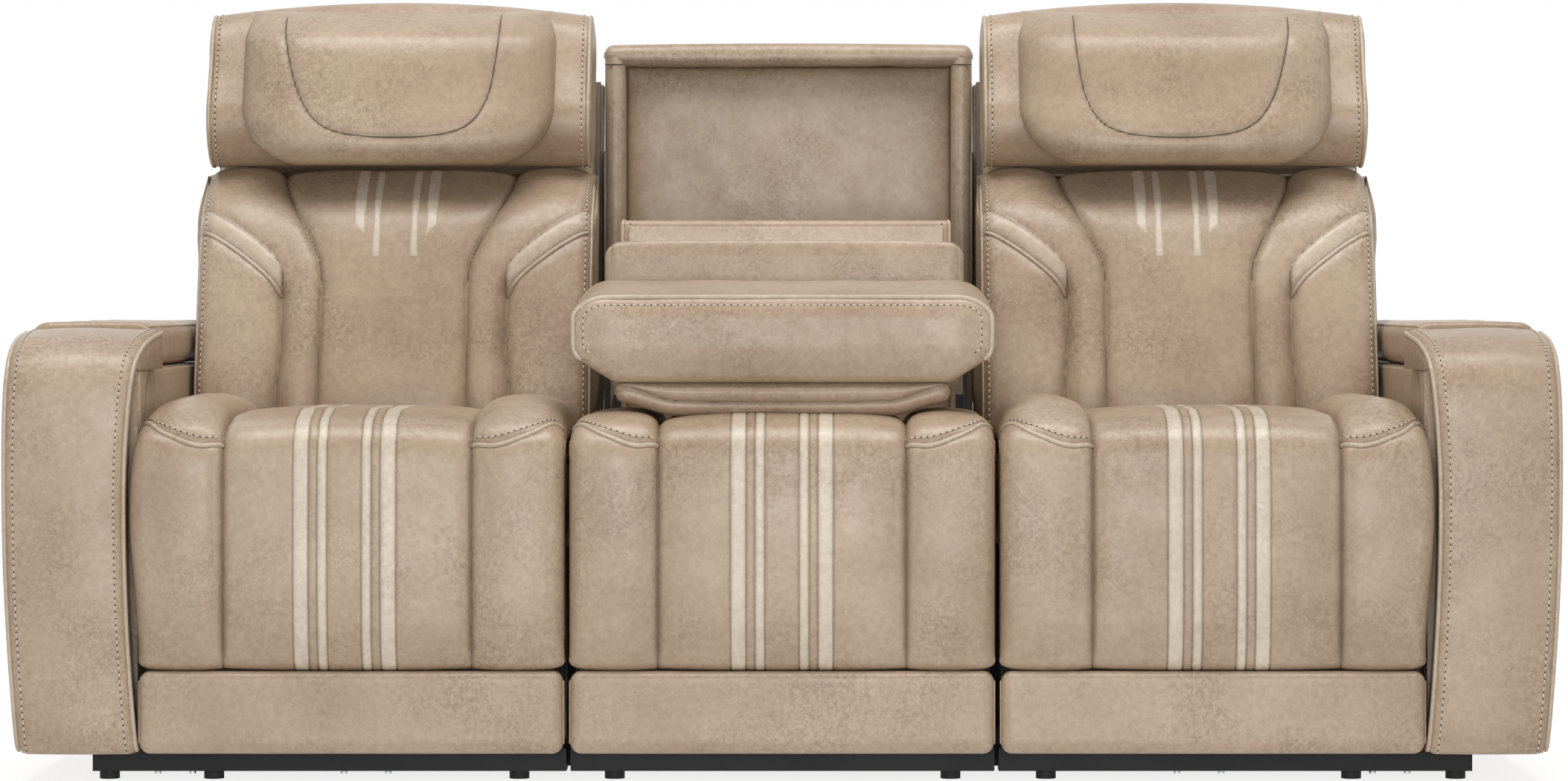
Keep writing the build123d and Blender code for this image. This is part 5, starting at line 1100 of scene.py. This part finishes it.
def make_pillow(name, center, foot, head):
    """Pillow on the front of the headrest, with its curved seam."""
    body = f"{name}_headrest"
    half_seam = [(170, PILLOW_TOP), *HEAD_SEAM]
    whole_seam = [(-x, z) for x, z in half_seam] + half_seam[-2::-1]
    lean = SIDES[name] * HEAD_SEAM_LEAN
    seam = spline([(x + lean * (z - HEAD_SEAM_FOOT) / 200, z) for x, z in whole_seam], 5.0)

    def half_width(z):
        """Half the pillow's width at a height, narrower toward its rounded foot."""
        share = np.clip((z - PILLOW_FOOT) / (PILLOW_SHOULDER - PILLOW_FOOT), 0, 1)
        corner = np.clip(1 - (z - PILLOW_FOOT) / PILLOW_CORNER_HEIGHT, 0, 1)
        rounding = PILLOW_CORNER_WIDTH * (1 - np.sqrt(1 - corner**2 + 1e-9))
        side = PILLOW_FOOT_HALF + (PILLOW_HALF - PILLOW_FOOT_HALF) * np.sin(share * math.pi / 2)
        return side - rounding - 8 * smooth((z - PILLOW_FALL_START) / 52)

    def flank(z):
        """Front of the roll behind the pillow."""
        share = (z - foot[1]) / (head[1] - foot[1])
        return foot[0] - 70 + share * (head[0] - 54 - foot[0] + 70)

    def fall(z):
        """How far the top rolls back."""
        return PILLOW_FALL * smooth((z - PILLOW_FALL_START) / 56)

    def surface(u, z):
        """Place on the pillow's face, u running from -1 to 1 across it, and the shade of its seam."""
        x = u * half_width(z)
        v = 2 * (z - PILLOW_FOOT) / (PILLOW_TOP - PILLOW_FOOT) - 1
        rim = np.clip(1 - np.abs(u) ** 4.0, 0, 1) ** 0.45 * np.clip(1 - np.abs(v) ** 4.0, 0, 1) ** 0.45
        from_seam = distance_to_path(x, z, seam)
        thick = (PILLOW_THICK + PILLOW_TOP_THICKER * smooth((z - 935) / 175)) * rim
        thick = thick - crease(from_seam, *PILLOW_CREASE) * rim + 1.8 * ripple(x, z, 140.0, 11) * rim
        thick = thick + PILLOW_FULL * bell((z - PILLOW_FULL_HEIGHT) / 42) * rim
        y = flank(z) - thick + fall(z) * (1 - 0.3 * np.abs(u))
        return x, y, 0.9 * fade(from_seam, 1.4) * rim

    rows = PILLOW_FOOT + (PILLOW_TOP - PILLOW_FOOT) * (0.5 - 0.5 * np.cos(math.pi * np.linspace(0, 1, 64)))
    grid_u, grid_z = np.meshgrid(np.sin(np.linspace(-1, 1, 130) * math.pi / 2), rows)
    x, y, shade = surface(grid_u, grid_z)
    front = spots_of(center + x, y, grid_z)
    back_y = flank(grid_z) + 8 + fall(grid_z)
    back = spots_of(center + x * 0.97, np.maximum(back_y, y + 1), grid_z)[:, ::-1]
    rings = np.concatenate([front, back[:, ::6]], axis=1)
    painted_shade = np.concatenate([shade, np.zeros((len(rows), rings.shape[1] - shade.shape[1]))], axis=1)
    upholster(loft(f"{body}_pillow", rings, [TAN], None, painted_shade), body, f"{body}_pad", fill=0.85)
    seam_x, seam_z = seam[seam[:, 1] < PILLOW_TOP - 10].T
    _, seam_y, _ = surface(seam_x / half_width(seam_z), seam_z)
    seam_line(f"{body}_seam", spots_of(center + seam_x, seam_y - 0.5, seam_z), body)


def make_headrests():
    """Two headrests."""
    for name in SIDES:
        make_headrest(name)


# Centre back with its recess

RECESS_WALL = 34.0
RECESS_SILL = 50
RECESS_SWELL = 13.0
RECESS_PANEL_THICK = 26
# Dark sheets that paint the shadow in the gap beside the recess
SHADOW_SHEET_TOP = 930.0
SHADOW_SHEET_INSET = 4.0
SHADOW_SHEET_AHEAD = 44
SHADOW_SHEET_BEHIND = 50


def make_center_back():
    """Padded frame of posts, top bar and sill round the panel of the recess."""
    low, high = box_mm("center_back_shell")
    front, rear, foot, top = low[1], high[1], low[2], high[2]
    half = high[0] + 4.0
    inner = half - RECESS_WALL
    body = "center_back"
    for side, tag in TAGS.items():
        corners = rectangle(side * inner, front - 2, side * half, rear)
        outline = section(corners, (15.0, 15.0, 6.0, 4.0), 12.0, 8.0)
        post = soft_bar(f"recess_post_{tag}", "Z", (foot, top - 9), outline, (4.0, 9.0), 14.0)
        upholster(post, body, fill=0.7)

    def bar_shape(rings):
        x, z = rings[..., 0], rings[..., 2]
        rings[..., 2] += 3.0 * smooth((z - top + 20) / 20) * (1 - (x / half) ** 2)
        rings[..., 2] += 1.2 * ripple(x, z, 130.0, 2) * smooth((top - z) / 10)

    outline = section(rectangle(front - 2, top - RECESS_WALL, rear, top), (15.0, 4.0, 8.0, 17.0), 12.0, 8.0)
    bar = soft_bar("recess_top_bar", "X", (-half, half), outline, (14.0, 14.0), 9.0, bar_shape)
    upholster(bar, body, fill=0.7)
    outline = section(rectangle(front, foot, rear, foot + RECESS_SILL), (8.0,) * 4, 10.0, 10.0)
    sill = soft_bar("recess_sill", "X", (-inner - 2, inner + 2), outline, (4.0, 4.0), 16.0)
    upholster(sill, body, fill=0.7)
    panel = recess_panel(inner + 1, foot + RECESS_SILL - 1, top - RECESS_WALL + 1, rear)
    upholster(panel, body, "center_back_shell", fill=0.7)
    make_side_shadow_sheets(half, front, foot)
    for side, tag in TAGS.items():
        x = np.linspace(side * (half - 1.5), side * (inner + 2), 10)
        line = spots_of(x, front - 2.6, top - RECESS_WALL + 2)
        trim(tube(f"recess_mitre_{tag}", line, SEAM_RADIUS, HOLE, 8), body)


def recess_panel(half, foot, top, rear):
    """Soft panel at the back of the recess, with a slanting fold and painted shadow of the frame along its
    top and sides.
    """
    grid_x, grid_z = np.meshgrid(np.linspace(-half, half, 130), np.linspace(foot, top, 140))
    across = 1 - np.abs(grid_x / half) ** 6
    up = 1 - np.abs(2 * (grid_z - foot) / (top - foot) - 1) ** 8
    inside = np.clip(across * up, 0, 1)
    swell = RECESS_SWELL * np.clip(across, 0, 1) ** 0.6 * np.clip(up, 0, 1) ** 0.6
    swell = swell + 2.4 * ripple(grid_x, grid_z, 260.0, 8) * inside
    slant = bell((grid_x + 0.55 * (grid_z - 860) + 90) / 34) * smooth((grid_z - 760) / 120)
    swell = swell + 2.0 * slant * inside
    face = spots_of(grid_x, rear - RECESS_PANEL_THICK - swell, grid_z)
    back = spots_of(grid_x, rear - 1.0, grid_z)[:, ::-1]
    # Painted shadow of the frame, darkest at the panel's top and sides
    edge = np.minimum(half - np.abs(grid_x), top - grid_z)
    shade = 0.75 * fade(np.clip(edge, 0, None), 4.0)
    painted_shade = np.concatenate([shade, np.zeros_like(shade)], axis=1)
    return loft("recess_panel", np.concatenate([face, back], axis=1), [TAN], None, painted_shade)


def make_side_shadow_sheets(half, front, foot):
    """Dark sheets along the outer sides of the recess posts, in front of the joint with the outer backs,
    standing in for the shadow in that gap.
    """
    for side, tag in TAGS.items():
        inner, outer = side * (half - SHADOW_SHEET_INSET), side * (half - 0.2)
        corners = rectangle(inner, front - SHADOW_SHEET_AHEAD, outer, front + SHADOW_SHEET_BEHIND)
        outline = section(corners, (1.0,) * 4, 1.5, 8.0, 4)
        span = (foot + 6, SHADOW_SHEET_TOP)
        shadow_sheet = soft_bar(f"recess_shadow_sheet_{tag}", "Z", span, outline, (1.0, 1.0), 20.0, material=DARK_EDGE_AND_SHADOW_LEATHER)
        trim(shadow_sheet, "center_back")


# Folding table

ROLL_HALF = 305.5
ROLL_CHAMFER = (62, 40)
ROLL_FACE = 58.0
ROLL_DROP = 22.0
ROLL_DROP_REACH = 150.0
ROLL_SWELL = 9.0
ROLL_PIPING = 3.8
PAD_SEAM_RISE = 20.0
PAD_END_RISE = 20.0
PAD_UPPER_SWELL = 7.0
PAD_LOWER_SWELL = 3.0
STEP_LENGTH = 230.0
RISER_INSET = 14.0
RISER_PIPING = 2.8
CUP_X = 150.0
CUP_ROOM = 47.0
CUP_RIM = 52
STEP_CROWN = 5.0
CUTTER_DEPTH = 0.16
TABLE_CHANNEL = 115
TABLE_CREASE = (6.0, 10.0)


def make_table():
    """Everything sewn on the folding board."""
    make_table_roll()
    make_table_pad()
    make_table_steps()
    make_table_back()


def make_table_roll():
    """Thick roll at the front of the table, piped and stitched round the top of its face."""
    low, high = box_mm("table_bolster")
    front, rear, foot, top = low[1] - 6, high[1], low[2], high[2]
    in_x, up_z = ROLL_CHAMFER
    corners = [
        (-ROLL_HALF + in_x, foot), (ROLL_HALF - in_x, foot), (ROLL_HALF, foot + up_z), (ROLL_HALF, top - 2),
        (-ROLL_HALF, top - 2), (-ROLL_HALF, foot + up_z),
    ]
    outline = section(corners, (30.0, 30.0, 26.0, 52.0, 52.0, 26.0), ROLL_FACE, 7.0, 11)

    def settle(x, y, z):
        """Lower front edge of the roll's top, and the swell of its face."""
        above_middle = z - (foot + top) / 2
        at_front = 1 - smooth((y - front) / ROLL_DROP_REACH)
        drop = ROLL_DROP * at_front * smooth(above_middle / (top - foot) * 2)
        level = np.clip((z - foot) / (top - foot), 0, 1)
        round_up = np.minimum(np.sin(math.pi * level), 0.9) / 0.9
        to_side = 1 - smooth((np.abs(x) - ROLL_HALF + 60) / 60)
        uneven = 1.4 * ripple(x, z, 150.0, 13) * (1 - bell(above_middle / 45))
        swell = ROLL_SWELL * round_up * to_side + uneven
        return drop, smooth((front + 30 - y) / 30) * swell

    def shape(rings):
        x, y, z = (rings[..., k].copy() for k in range(3))
        drop, swell = settle(x, y, z)
        rings[..., 1] -= swell
        rings[..., 2] += 1.8 * ripple(x, y, 190.0, 17) * smooth((z - top + 40) / 30) - drop

    roll = soft_bar("table_roll", "Y", (front, rear), outline, (15.0, 22.0), 7.0, shape, ROLL_FACE)
    upholster(roll, "table", "table_bolster", fill=0.85)

    def arch_line(inset, y, low_z):
        """Line round the top of the face, from one lower corner to the other."""
        ring = outline(inset)
        ring = ring[np.argsort(np.arctan2(ring[:, 0], ring[:, 1] - (foot + 60)))]
        x, z = ring[ring[:, 1] > low_z].T
        drop, swell = settle(x, np.full(len(x), y), z)
        return spots_of(x, y - swell, z - drop)

    piping("table_roll_piping", resample(arch_line(3.0, front + 5.0, foot + 34), 5.0), "table", ROLL_PIPING)
    line = resample(arch_line(18.0, front - 0.3, foot + 40), 4.0)
    trim(stitches("table_roll_stitching", [(line, np.tile((0.0, -1.0, 0.1), (len(line), 1)))]), "table")


def make_table_pad():
    """Head pad under the roll, with its seam and its ends drawn up."""
    low, high = box_mm("table_head_pad")
    half = high[0]
    front, rear, foot, top = low[1] - 2, high[1], low[2] + 1, high[2] + 1
    outline = section(rectangle(front, foot, rear, top), (18.0, 10.0, 6.0, 14.0), 18.0, 4.0)

    def lowest(x):
        """Underside of the pad, drawn up at the ends."""
        return foot + PAD_END_RISE * smooth((np.abs(x) - half + 90) / 90)

    def seam_height(x):
        """Height of the seam along the pad."""
        return lowest(x) + PAD_SEAM_RISE + 6.0 * (x / half) ** 2

    def shape(rings):
        x, y, z = rings[..., 0], rings[..., 1].copy(), rings[..., 2]
        floor, seam = lowest(x), seam_height(x)
        rings[..., 2] = floor + (z - foot) * (top - floor) / (top - foot)
        above = np.clip((z - seam) / (top - seam), 0, 1)
        below = np.clip((seam - z) / PAD_SEAM_RISE, 0, 1)
        face = smooth((front + 16 - y) / 16)
        upper = PAD_UPPER_SWELL * np.sin(math.pi * above) ** 0.7
        lower = PAD_LOWER_SWELL * np.sin(math.pi * below) ** 0.7
        rings[..., 1] -= face * (upper + lower)
        # Painted shade along the pad's seam
        return face * 0.8 * fade(np.abs(z - seam), 2.0)

    pad = soft_bar("table_headrest_pad", "X", (-half, half), outline, (14.0, 14.0), 8.0, shape)
    upholster(pad, "table", "table_head_pad")
    x = np.linspace(-half + 12, half - 12, 80)
    seam_line("table_headrest_seam", spots_of(x, front + 0.4, seam_height(x)), "table")


def make_table_steps():
    """Step with the cup wells, and the riser behind it."""
    low, high = box_mm("table_console")
    cup_low, cup_high = box_mm("cup_holders")
    front = box_mm("table_bolster")[1][1]
    riser_front = front + STEP_LENGTH
    base, rear, top = low[2], high[1], high[2]
    step_top = cup_high[2] - 3.0
    half = high[0]
    riser_half = half - RISER_INSET
    cup_y = (cup_low[1] + cup_high[1]) / 2

    def step_shape(rings):
        x, y, z = (rings[..., k] for k in range(3))
        near = np.hypot(np.abs(x) - CUP_X, y - cup_y)
        crown = STEP_CROWN * smooth((near - CUP_RIM) / 24) * (1 - (x / half) ** 6)
        rings[..., 2] += crown * smooth((z - step_top + 6) / 6)
        # Painted seam shade, darkening along the seam near each end of the step
        return 0.75 * fade(np.abs(np.abs(x) - half + 11), 1.8) * smooth((z - base - 20) / 20)

    outline = section(rectangle(-half, base, half, step_top), (3.0, 3.0, 20.0, 20.0), 20.0, 6.0, 8)
    step = soft_bar("table_step", "Y", (front, riser_front), outline, (9.0, 2.0), 7.0, step_shape)
    upholster(step, "table", "table_console", fill=0.6)
    cut_cups(step, cup_y, step_top)
    outline = section(rectangle(-riser_half, base, riser_half, top), (3.0, 3.0, 9.0, 9.0), 12.0, 7.0)
    riser = soft_bar("table_riser", "Y", (riser_front - 1, rear), outline, (9.0, 9.0), 8.0)
    upholster(riser, "table", fill=0.6)
    z = np.arange(step_top - 6, top - 5, 3.0)
    over = np.arange(riser_front + 6, rear - 6, 4.0)
    rows = []
    for side, tag in TAGS.items():
        edge = spots_of(side * (riser_half - 2.5), riser_front - 0.5, z)
        lid = spots_of(side * (riser_half - 4), over, top - 1.0)
        piping(f"table_riser_piping_{tag}", resample(np.vstack([edge, lid]), 4.0), "table", RISER_PIPING)
        row = spots_of(side * (riser_half - 14), riser_front - 1.4, z)
        rows.append((row, np.tile((0.0, -1.0, 0.0), (len(row), 1))))
    trim(stitches("table_riser_stitching", rows), "table")


def cut_cups(step, cup_y, top):
    """Round wells in the step's top, so that the steel cups show."""
    for side in TAGS:
        spot = (side * CUP_X * MM, cup_y * MM, top * MM)
        bpy.ops.mesh.primitive_cylinder_add(
            vertices=64, radius=CUP_ROOM * MM, depth=CUTTER_DEPTH, location=spot
        )
        cutter = bpy.context.active_object
        cut = step.modifiers.new("well", "BOOLEAN")
        cut.operation = "DIFFERENCE"
        cut.solver = "EXACT"
        cut.object = cutter
        bpy.context.view_layer.objects.active = step
        bpy.ops.object.modifier_apply(modifier="well")
        bpy.data.objects.remove(cutter, do_unlink=True)


def make_table_back():
    """Channelled cushion on the underside, which is the backrest when the table is up."""
    low, high = box_mm("table_back_cushion")
    half = high[0]
    outline = section(rectangle(-half, low[2], half, high[2]), (16.0, 16.0, 3.0, 3.0), 14.0, 8.0)

    def shape(rings):
        from_seam = np.abs(rings[..., 0]) - TABLE_CHANNEL
        under = smooth((high[2] - rings[..., 2]) / (high[2] - low[2]))
        rings[..., 2] += under * crease(from_seam, *TABLE_CREASE)
        # Painted shade along the channel seams
        return under * 0.8 * fade(np.abs(from_seam), 2.6)

    pad = soft_bar("table_back_pad", "Y", (low[1], high[1]), outline, (12.0, 12.0), 9.0, shape)
    upholster(pad, "table", "table_back_cushion")


# Arms

ARM_OUTER = 1117.5
ARM_ROWS = 5.0
ARM_SIDE_BOW = 20.0
ARM_SIDE_MIDDLE = 450.0
ARM_SIDE_REACH = 405.0
ARM_SIDE_TOP = 600.0
ARM_SWELL = 8.0
ARM_EDGE_ROUND = 15.0
ARM_RIM = 0.09
ARM_BOW_HEIGHT = 400.0
ARM_BOW_DEPTH = 18.0
ARM_BOW_OUT = 13.0
ARM_FLARE = 12.0
ARM_INNER_FACE = 926.0
ARM_INNER_BACK = 934.0
ARM_INNER_FOOT = 430.0
ARM_INNER_SPAN = (-436.0, 300.0)
ARM_INNER_SEAM = ((-330.0, 592.0), (-372.0, 560.0), (-390.0, 440.0))
ARM_INNER_CREASE = (4.0, 7.0)
LID_GAP_SHADOW_OUTER = 950.0
LID_GAP_SHADOW_SPAN = (-284.0, 370.0)
LID_OUTER = 1110.0
LID_PIPING = 3.0
# Edges of an arm band, and where across it their piping and their stitches run
ARM_TRIMS = (("inner", 0.008, 0.085), ("outer", 0.992, 0.915))


def arm_outer(z):
    """Distance of the arm's bowed outer side from the middle of the sofa."""
    return ARM_OUTER - ARM_SIDE_BOW * ((z - ARM_SIDE_MIDDLE) / ARM_SIDE_REACH) ** 2


class ArmBand(Strip):
    """Front of an arm: one band up the front and back over the top, piped and stitched along both edges."""

    def __init__(self, name):
        low, high = box_mm(f"{name}_arm_front")
        body_low, body_high = box_mm(f"{name}_arm_body")
        self.name, self.side = name, SIDES[name]
        self.inner = min(abs(low[0]), abs(high[0]))
        self.seat_y, self.seat_z = body_low[1] + 1, body_high[2] - 1
        front, rear, foot, top = low[1] - 2, high[1], low[2], high[2]
        self.follow(
            [
                (front + 26, foot), (front + 9, foot + 4), (front + 1, foot + 22), (front - 1, foot + 90),
                (front - 2, top - 330), (front, top - 150), (front + 3, top - 100), (front + 11, top - 68),
                (front + 29, top - 43), (front + 62, top - 25), (front + 105, top - 14),
                (rear - 30, top - 7), (rear - 6, top - 5), (rear, top - 16),
            ],
            ARM_ROWS,
        )

    def inner_edge(self, z, s):
        """Distance of the band's inner edge from the middle: bowed beside the seat, flared over the top."""
        away = z - ARM_BOW_HEIGHT
        bow = ARM_BOW_DEPTH * np.where(away < 0, (away / 360.0) ** 2, 0.65 * (away / 200.0) ** 2)
        flare = ARM_FLARE * smooth((s - self.length[-1] + 210) / 190)
        return self.inner + ARM_BOW_OUT - bow - flare

    def point(self, u, s, lift=0.0):
        """Place on the band, u from 0 at the inner edge to 1 at the outer, and the way out there."""
        u, s = np.broadcast_arrays(np.asarray(u, float), np.asarray(s, float))
        y, z, out = self.at(s)
        inner = self.inner_edge(z, s)
        width = arm_outer(np.minimum(z, ARM_SIDE_TOP)) - inner
        x = inner + u * width
        over = np.clip(ARM_EDGE_ROUND - np.minimum(u, 1 - u) * width, 0, ARM_EDGE_ROUND)
        height = ARM_SWELL * np.sin(math.pi * u) ** 0.8 + 1.6 * ripple(x, s, 210.0, 21 + self.side)
        height = height * smooth(s / 50) * smooth((self.length[-1] - s) / 60)
        height = height - rounded_over(over, ARM_EDGE_ROUND)
        return spots_of(self.side * x, y, z) + out * (height + lift)[..., None], out

    def build(self):
        """The band with its trims."""
        rim = ARM_RIM * (1 - np.cos(np.linspace(0, 1, 9) * math.pi / 2))
        columns = np.concatenate([rim, np.linspace(ARM_RIM, 1 - ARM_RIM, 34)[1:-1], 1 - rim[::-1]])
        spots, _ = self.point(columns[None, :], self.length[:, None])
        inner_y = np.maximum(self.path[:, 0], self.seat_y)
        inner_z = np.minimum(self.path[:, 1], self.seat_z)
        closing = [spots_of(spots[:, k, 0], inner_y, inner_z)[:, None] for k in (-1, 0)]
        band = loft(f"{self.name}_arm_band", np.concatenate([spots] + closing, axis=1), [TAN])
        upholster(band, "base", f"{self.name}_arm_front")
        s = np.arange(14.0, self.length[-1] - 10, 5.0)
        rows = []
        for tag, edge, stitch in ARM_TRIMS:
            path, _ = self.point(edge, s, 3.2)
            piping(f"{self.name}_arm_{tag}_piping", path, "base")
            rows.append(self.point(stitch, s, 0.3))
        trim(stitches(f"{self.name}_arm_stitching", rows), "base")


def make_arms():
    """Bands, lids and inner faces of both arms."""
    for name in SIDES:
        ArmBand(name).build()
        make_arm_lid(name)
        make_arm_inner(name)


def make_arm_lid(name):
    """Padded lid over the arm's bin."""
    low, high = box_mm(f"{name}_arm_lid")
    side = SIDES[name]
    foot, top = low[2], high[2]
    corners = [
        (side * (ARM_INNER_FACE + 2), foot), (side * (LID_OUTER - 14), foot), (side * LID_OUTER, foot + 14),
        (side * LID_OUTER, top), (side * ARM_INNER_FACE, top),
    ]
    outline = section(corners, (24.0, 6.0, 8.0, 30.0, 26.0), 16.0, 8.0, 9)

    def shape(rings):
        upper = smooth((rings[..., 2] - top + 20) / 20)
        rings[..., 2] += 1.2 * ripple(np.abs(rings[..., 0]), rings[..., 1], 170.0, 31) * upper

    lid = soft_bar(f"{name}_lid_cover", "Y", (low[1], high[1]), outline, (9.0, 9.0), 10.0, shape)
    upholster(lid, f"{name}_lid", f"{name}_arm_lid")
    y = np.arange(low[1] + 6, high[1] - 4, 8.0)
    for tag, x, z in (("inner", ARM_INNER_FACE + 10, top - 7), ("outer", LID_OUTER - 16, top - 10)):
        piping(f"{name}_lid_{tag}_piping", spots_of(side * x, y, z), f"{name}_lid", LID_PIPING)


def make_arm_inner(name):
    """Padded inner face of the arm below the lid, and the rim that the lid closes on, made dark to stand in
    for the shadow in the lid's gap.
    """
    side = SIDES[name]
    top = box_mm(f"{name}_arm_body")[1][2] - 1
    # Dark strip on the rim under the lid: painted shadow in the lid's gap
    corners = rectangle(side * ARM_INNER_BACK, top - 3, side * LID_GAP_SHADOW_OUTER, top + 2.9)
    outline = section(corners, (1.0,) * 4, 1.5, 4.0, 4)
    strip = soft_bar(
        f"{name}_lid_gap_shadow", "Y", LID_GAP_SHADOW_SPAN, outline, (1.0, 1.0), 20.0, material=DARK_EDGE_AND_SHADOW_LEATHER
    )
    trim(strip, "base")

    def shape(rings):
        seam = distance_to_path(rings[..., 1], rings[..., 2], ARM_INNER_SEAM)
        face = np.abs(rings[..., 0]) < (ARM_INNER_FACE + ARM_INNER_BACK) / 2
        rings[..., 0] += side * face * crease(seam, *ARM_INNER_CREASE)
        # Painted shade along the inner seam
        return face * 0.85 * fade(seam, 3.0)

    corners = rectangle(side * ARM_INNER_FACE, ARM_INNER_FOOT, side * ARM_INNER_BACK, top)
    outline = section(corners, (3.0, 1.5, 1.5, 6.0), 2.6, 5.0, 6)
    pad = soft_bar(f"{name}_arm_inner_pad", "Y", ARM_INNER_SPAN, outline, (3.0, 3.0), 5.0, shape)
    upholster(pad, "base", fill=0.6)


# Floor, light and camera

FLOOR_SIZE = 9.0
FLOOR_LEVEL = -0.0005
FLOOR_NEAR = 1.6
FLOOR_FAR = 3.2
FLOOR_GLOW = 0.82
FLOOR_PALE = (0.4, 0.4, 0.4, 1)
WORLD_LIGHT = 0.22
# Each lamp's place, aim, size and power
LAMPS = {
    "overhead": ((0.0, -1.3, 4.6), (0.0, -0.3, 0.4), (4.6, 2.0), 166.0),
    "front": ((0.0, -7.0, 0.9), (0.0, 0.0, 0.6), (3.4, 1.6), 118.0),
    "left_box": ((-4.2, -4.2, 1.0), (-0.3, 0.1, 0.4), (1.0, 1.6), 19.0),
    "right_box": ((4.2, -4.2, 1.0), (0.3, 0.1, 0.4), (1.0, 1.6), 26.0),
}


def white_share(nodes, links):
    """Socket that is 1 for what the camera sees, also in gloss and through glass."""
    path = nodes.new("ShaderNodeLightPath")
    share = path.outputs["Is Camera Ray"]
    for name in ("Is Glossy Ray", "Is Transmission Ray"):
        largest = nodes.new("ShaderNodeMath")
        largest.operation = "MAXIMUM"
        links.new(share, largest.inputs[0])
        links.new(path.outputs[name], largest.inputs[1])
        share = largest.outputs[0]
    return share


def seen_as(nodes, links, lit, seen, surface):
    """One shader for the light that falls on the sofa, and another for what the camera sees."""
    blend = nodes.new("ShaderNodeMixShader")
    links.new(white_share(nodes, links), blend.inputs[0])
    links.new(lit.outputs[0], blend.inputs[1])
    links.new(seen.outputs[0], blend.inputs[2])
    links.new(blend.outputs[0], surface)


def make_stage():
    """Pale studio floor that fades to the white background and keeps the sofa's shadow."""
    bpy.ops.mesh.primitive_plane_add(size=FLOOR_SIZE, location=(0, 0, FLOOR_LEVEL))
    floor = bpy.context.active_object
    floor.name = "studio_floor"
    look = Look("studio_floor", True)
    nodes, links = look.nodes, look.links
    look.put("Base Color", look.levels(look.noise(0.6, 2.0), 0.3, 0.7, 0.86, 0.9))
    look.put("Roughness", 0.9)
    far = nodes.new("ShaderNodeVectorMath")
    far.operation = "LENGTH"
    links.new(look.place, far.inputs[0])
    reach = nodes.new("ShaderNodeMapRange")
    reach.inputs["From Min"].default_value = FLOOR_NEAR
    reach.inputs["From Max"].default_value = FLOOR_FAR
    reach.inputs["To Min"].default_value = FLOOR_GLOW
    links.new(far.outputs["Value"], reach.inputs["Value"])
    white = nodes.new("ShaderNodeEmission")
    links.new(reach.outputs["Result"], white.inputs["Strength"])
    pale = nodes.new("ShaderNodeBsdfDiffuse")
    pale.inputs["Color"].default_value = FLOOR_PALE
    both = nodes.new("ShaderNodeAddShader")
    links.new(white.outputs[0], both.inputs[0])
    links.new(pale.outputs[0], both.inputs[1])
    seen_as(nodes, links, look.shader, both, nodes["Material Output"].inputs["Surface"])
    floor.data.materials.append(look.material)


def make_light():
    """Soft world light with a white background, and the studio's lamps."""
    world = bpy.data.worlds.new("studio")
    bpy.context.scene.world = world
    world.use_nodes = True
    nodes, links = world.node_tree.nodes, world.node_tree.links
    soft, white = nodes["Background"], nodes.new("ShaderNodeBackground")
    for shader, strength in ((soft, WORLD_LIGHT), (white, 1.0)):
        shader.inputs["Color"].default_value = (*WHITE, 1)
        shader.inputs["Strength"].default_value = strength
    seen_as(nodes, links, soft, white, nodes["World Output"].inputs["Surface"])
    for name, (spot, aim, size, power) in LAMPS.items():
        data = bpy.data.lights.new(name, "AREA")
        data.shape = "RECTANGLE"
        data.size, data.size_y = size
        data.energy = power
        lamp = bpy.data.objects.new(name, data)
        bpy.context.collection.objects.link(lamp)
        lamp.location = spot
        lamp.rotation_euler = (Vector(aim) - Vector(spot)).to_track_quat("-Z", "Y").to_euler()


def make_camera():
    """The photograph's long lens, shifted to its framing."""
    data = bpy.data.cameras.new("camera")
    data.sensor_width = SENSOR_WIDTH
    data.lens = FOCAL_PIXELS / IMAGE_WIDTH * SENSOR_WIDTH
    data.shift_x = -(AXIS_PIXEL_X - IMAGE_WIDTH / 2) / IMAGE_WIDTH
    data.shift_y = -(IMAGE_HEIGHT / 2 - AXIS_PIXEL_Y) / IMAGE_WIDTH
    data.clip_end = FAR_CLIP
    camera = bpy.data.objects.new("camera", data)
    bpy.context.collection.objects.link(camera)
    camera.location = CAMERA_SPOT
    camera.rotation_euler = (math.radians(90), 0, 0)
    bpy.context.scene.camera = camera
    bpy.context.scene.view_settings.view_transform = "Standard"


dress_parts()
make_seats()
make_backs()
make_headrests()
make_center_back()
make_table()
make_arms()
make_stage()
make_light()
make_camera()
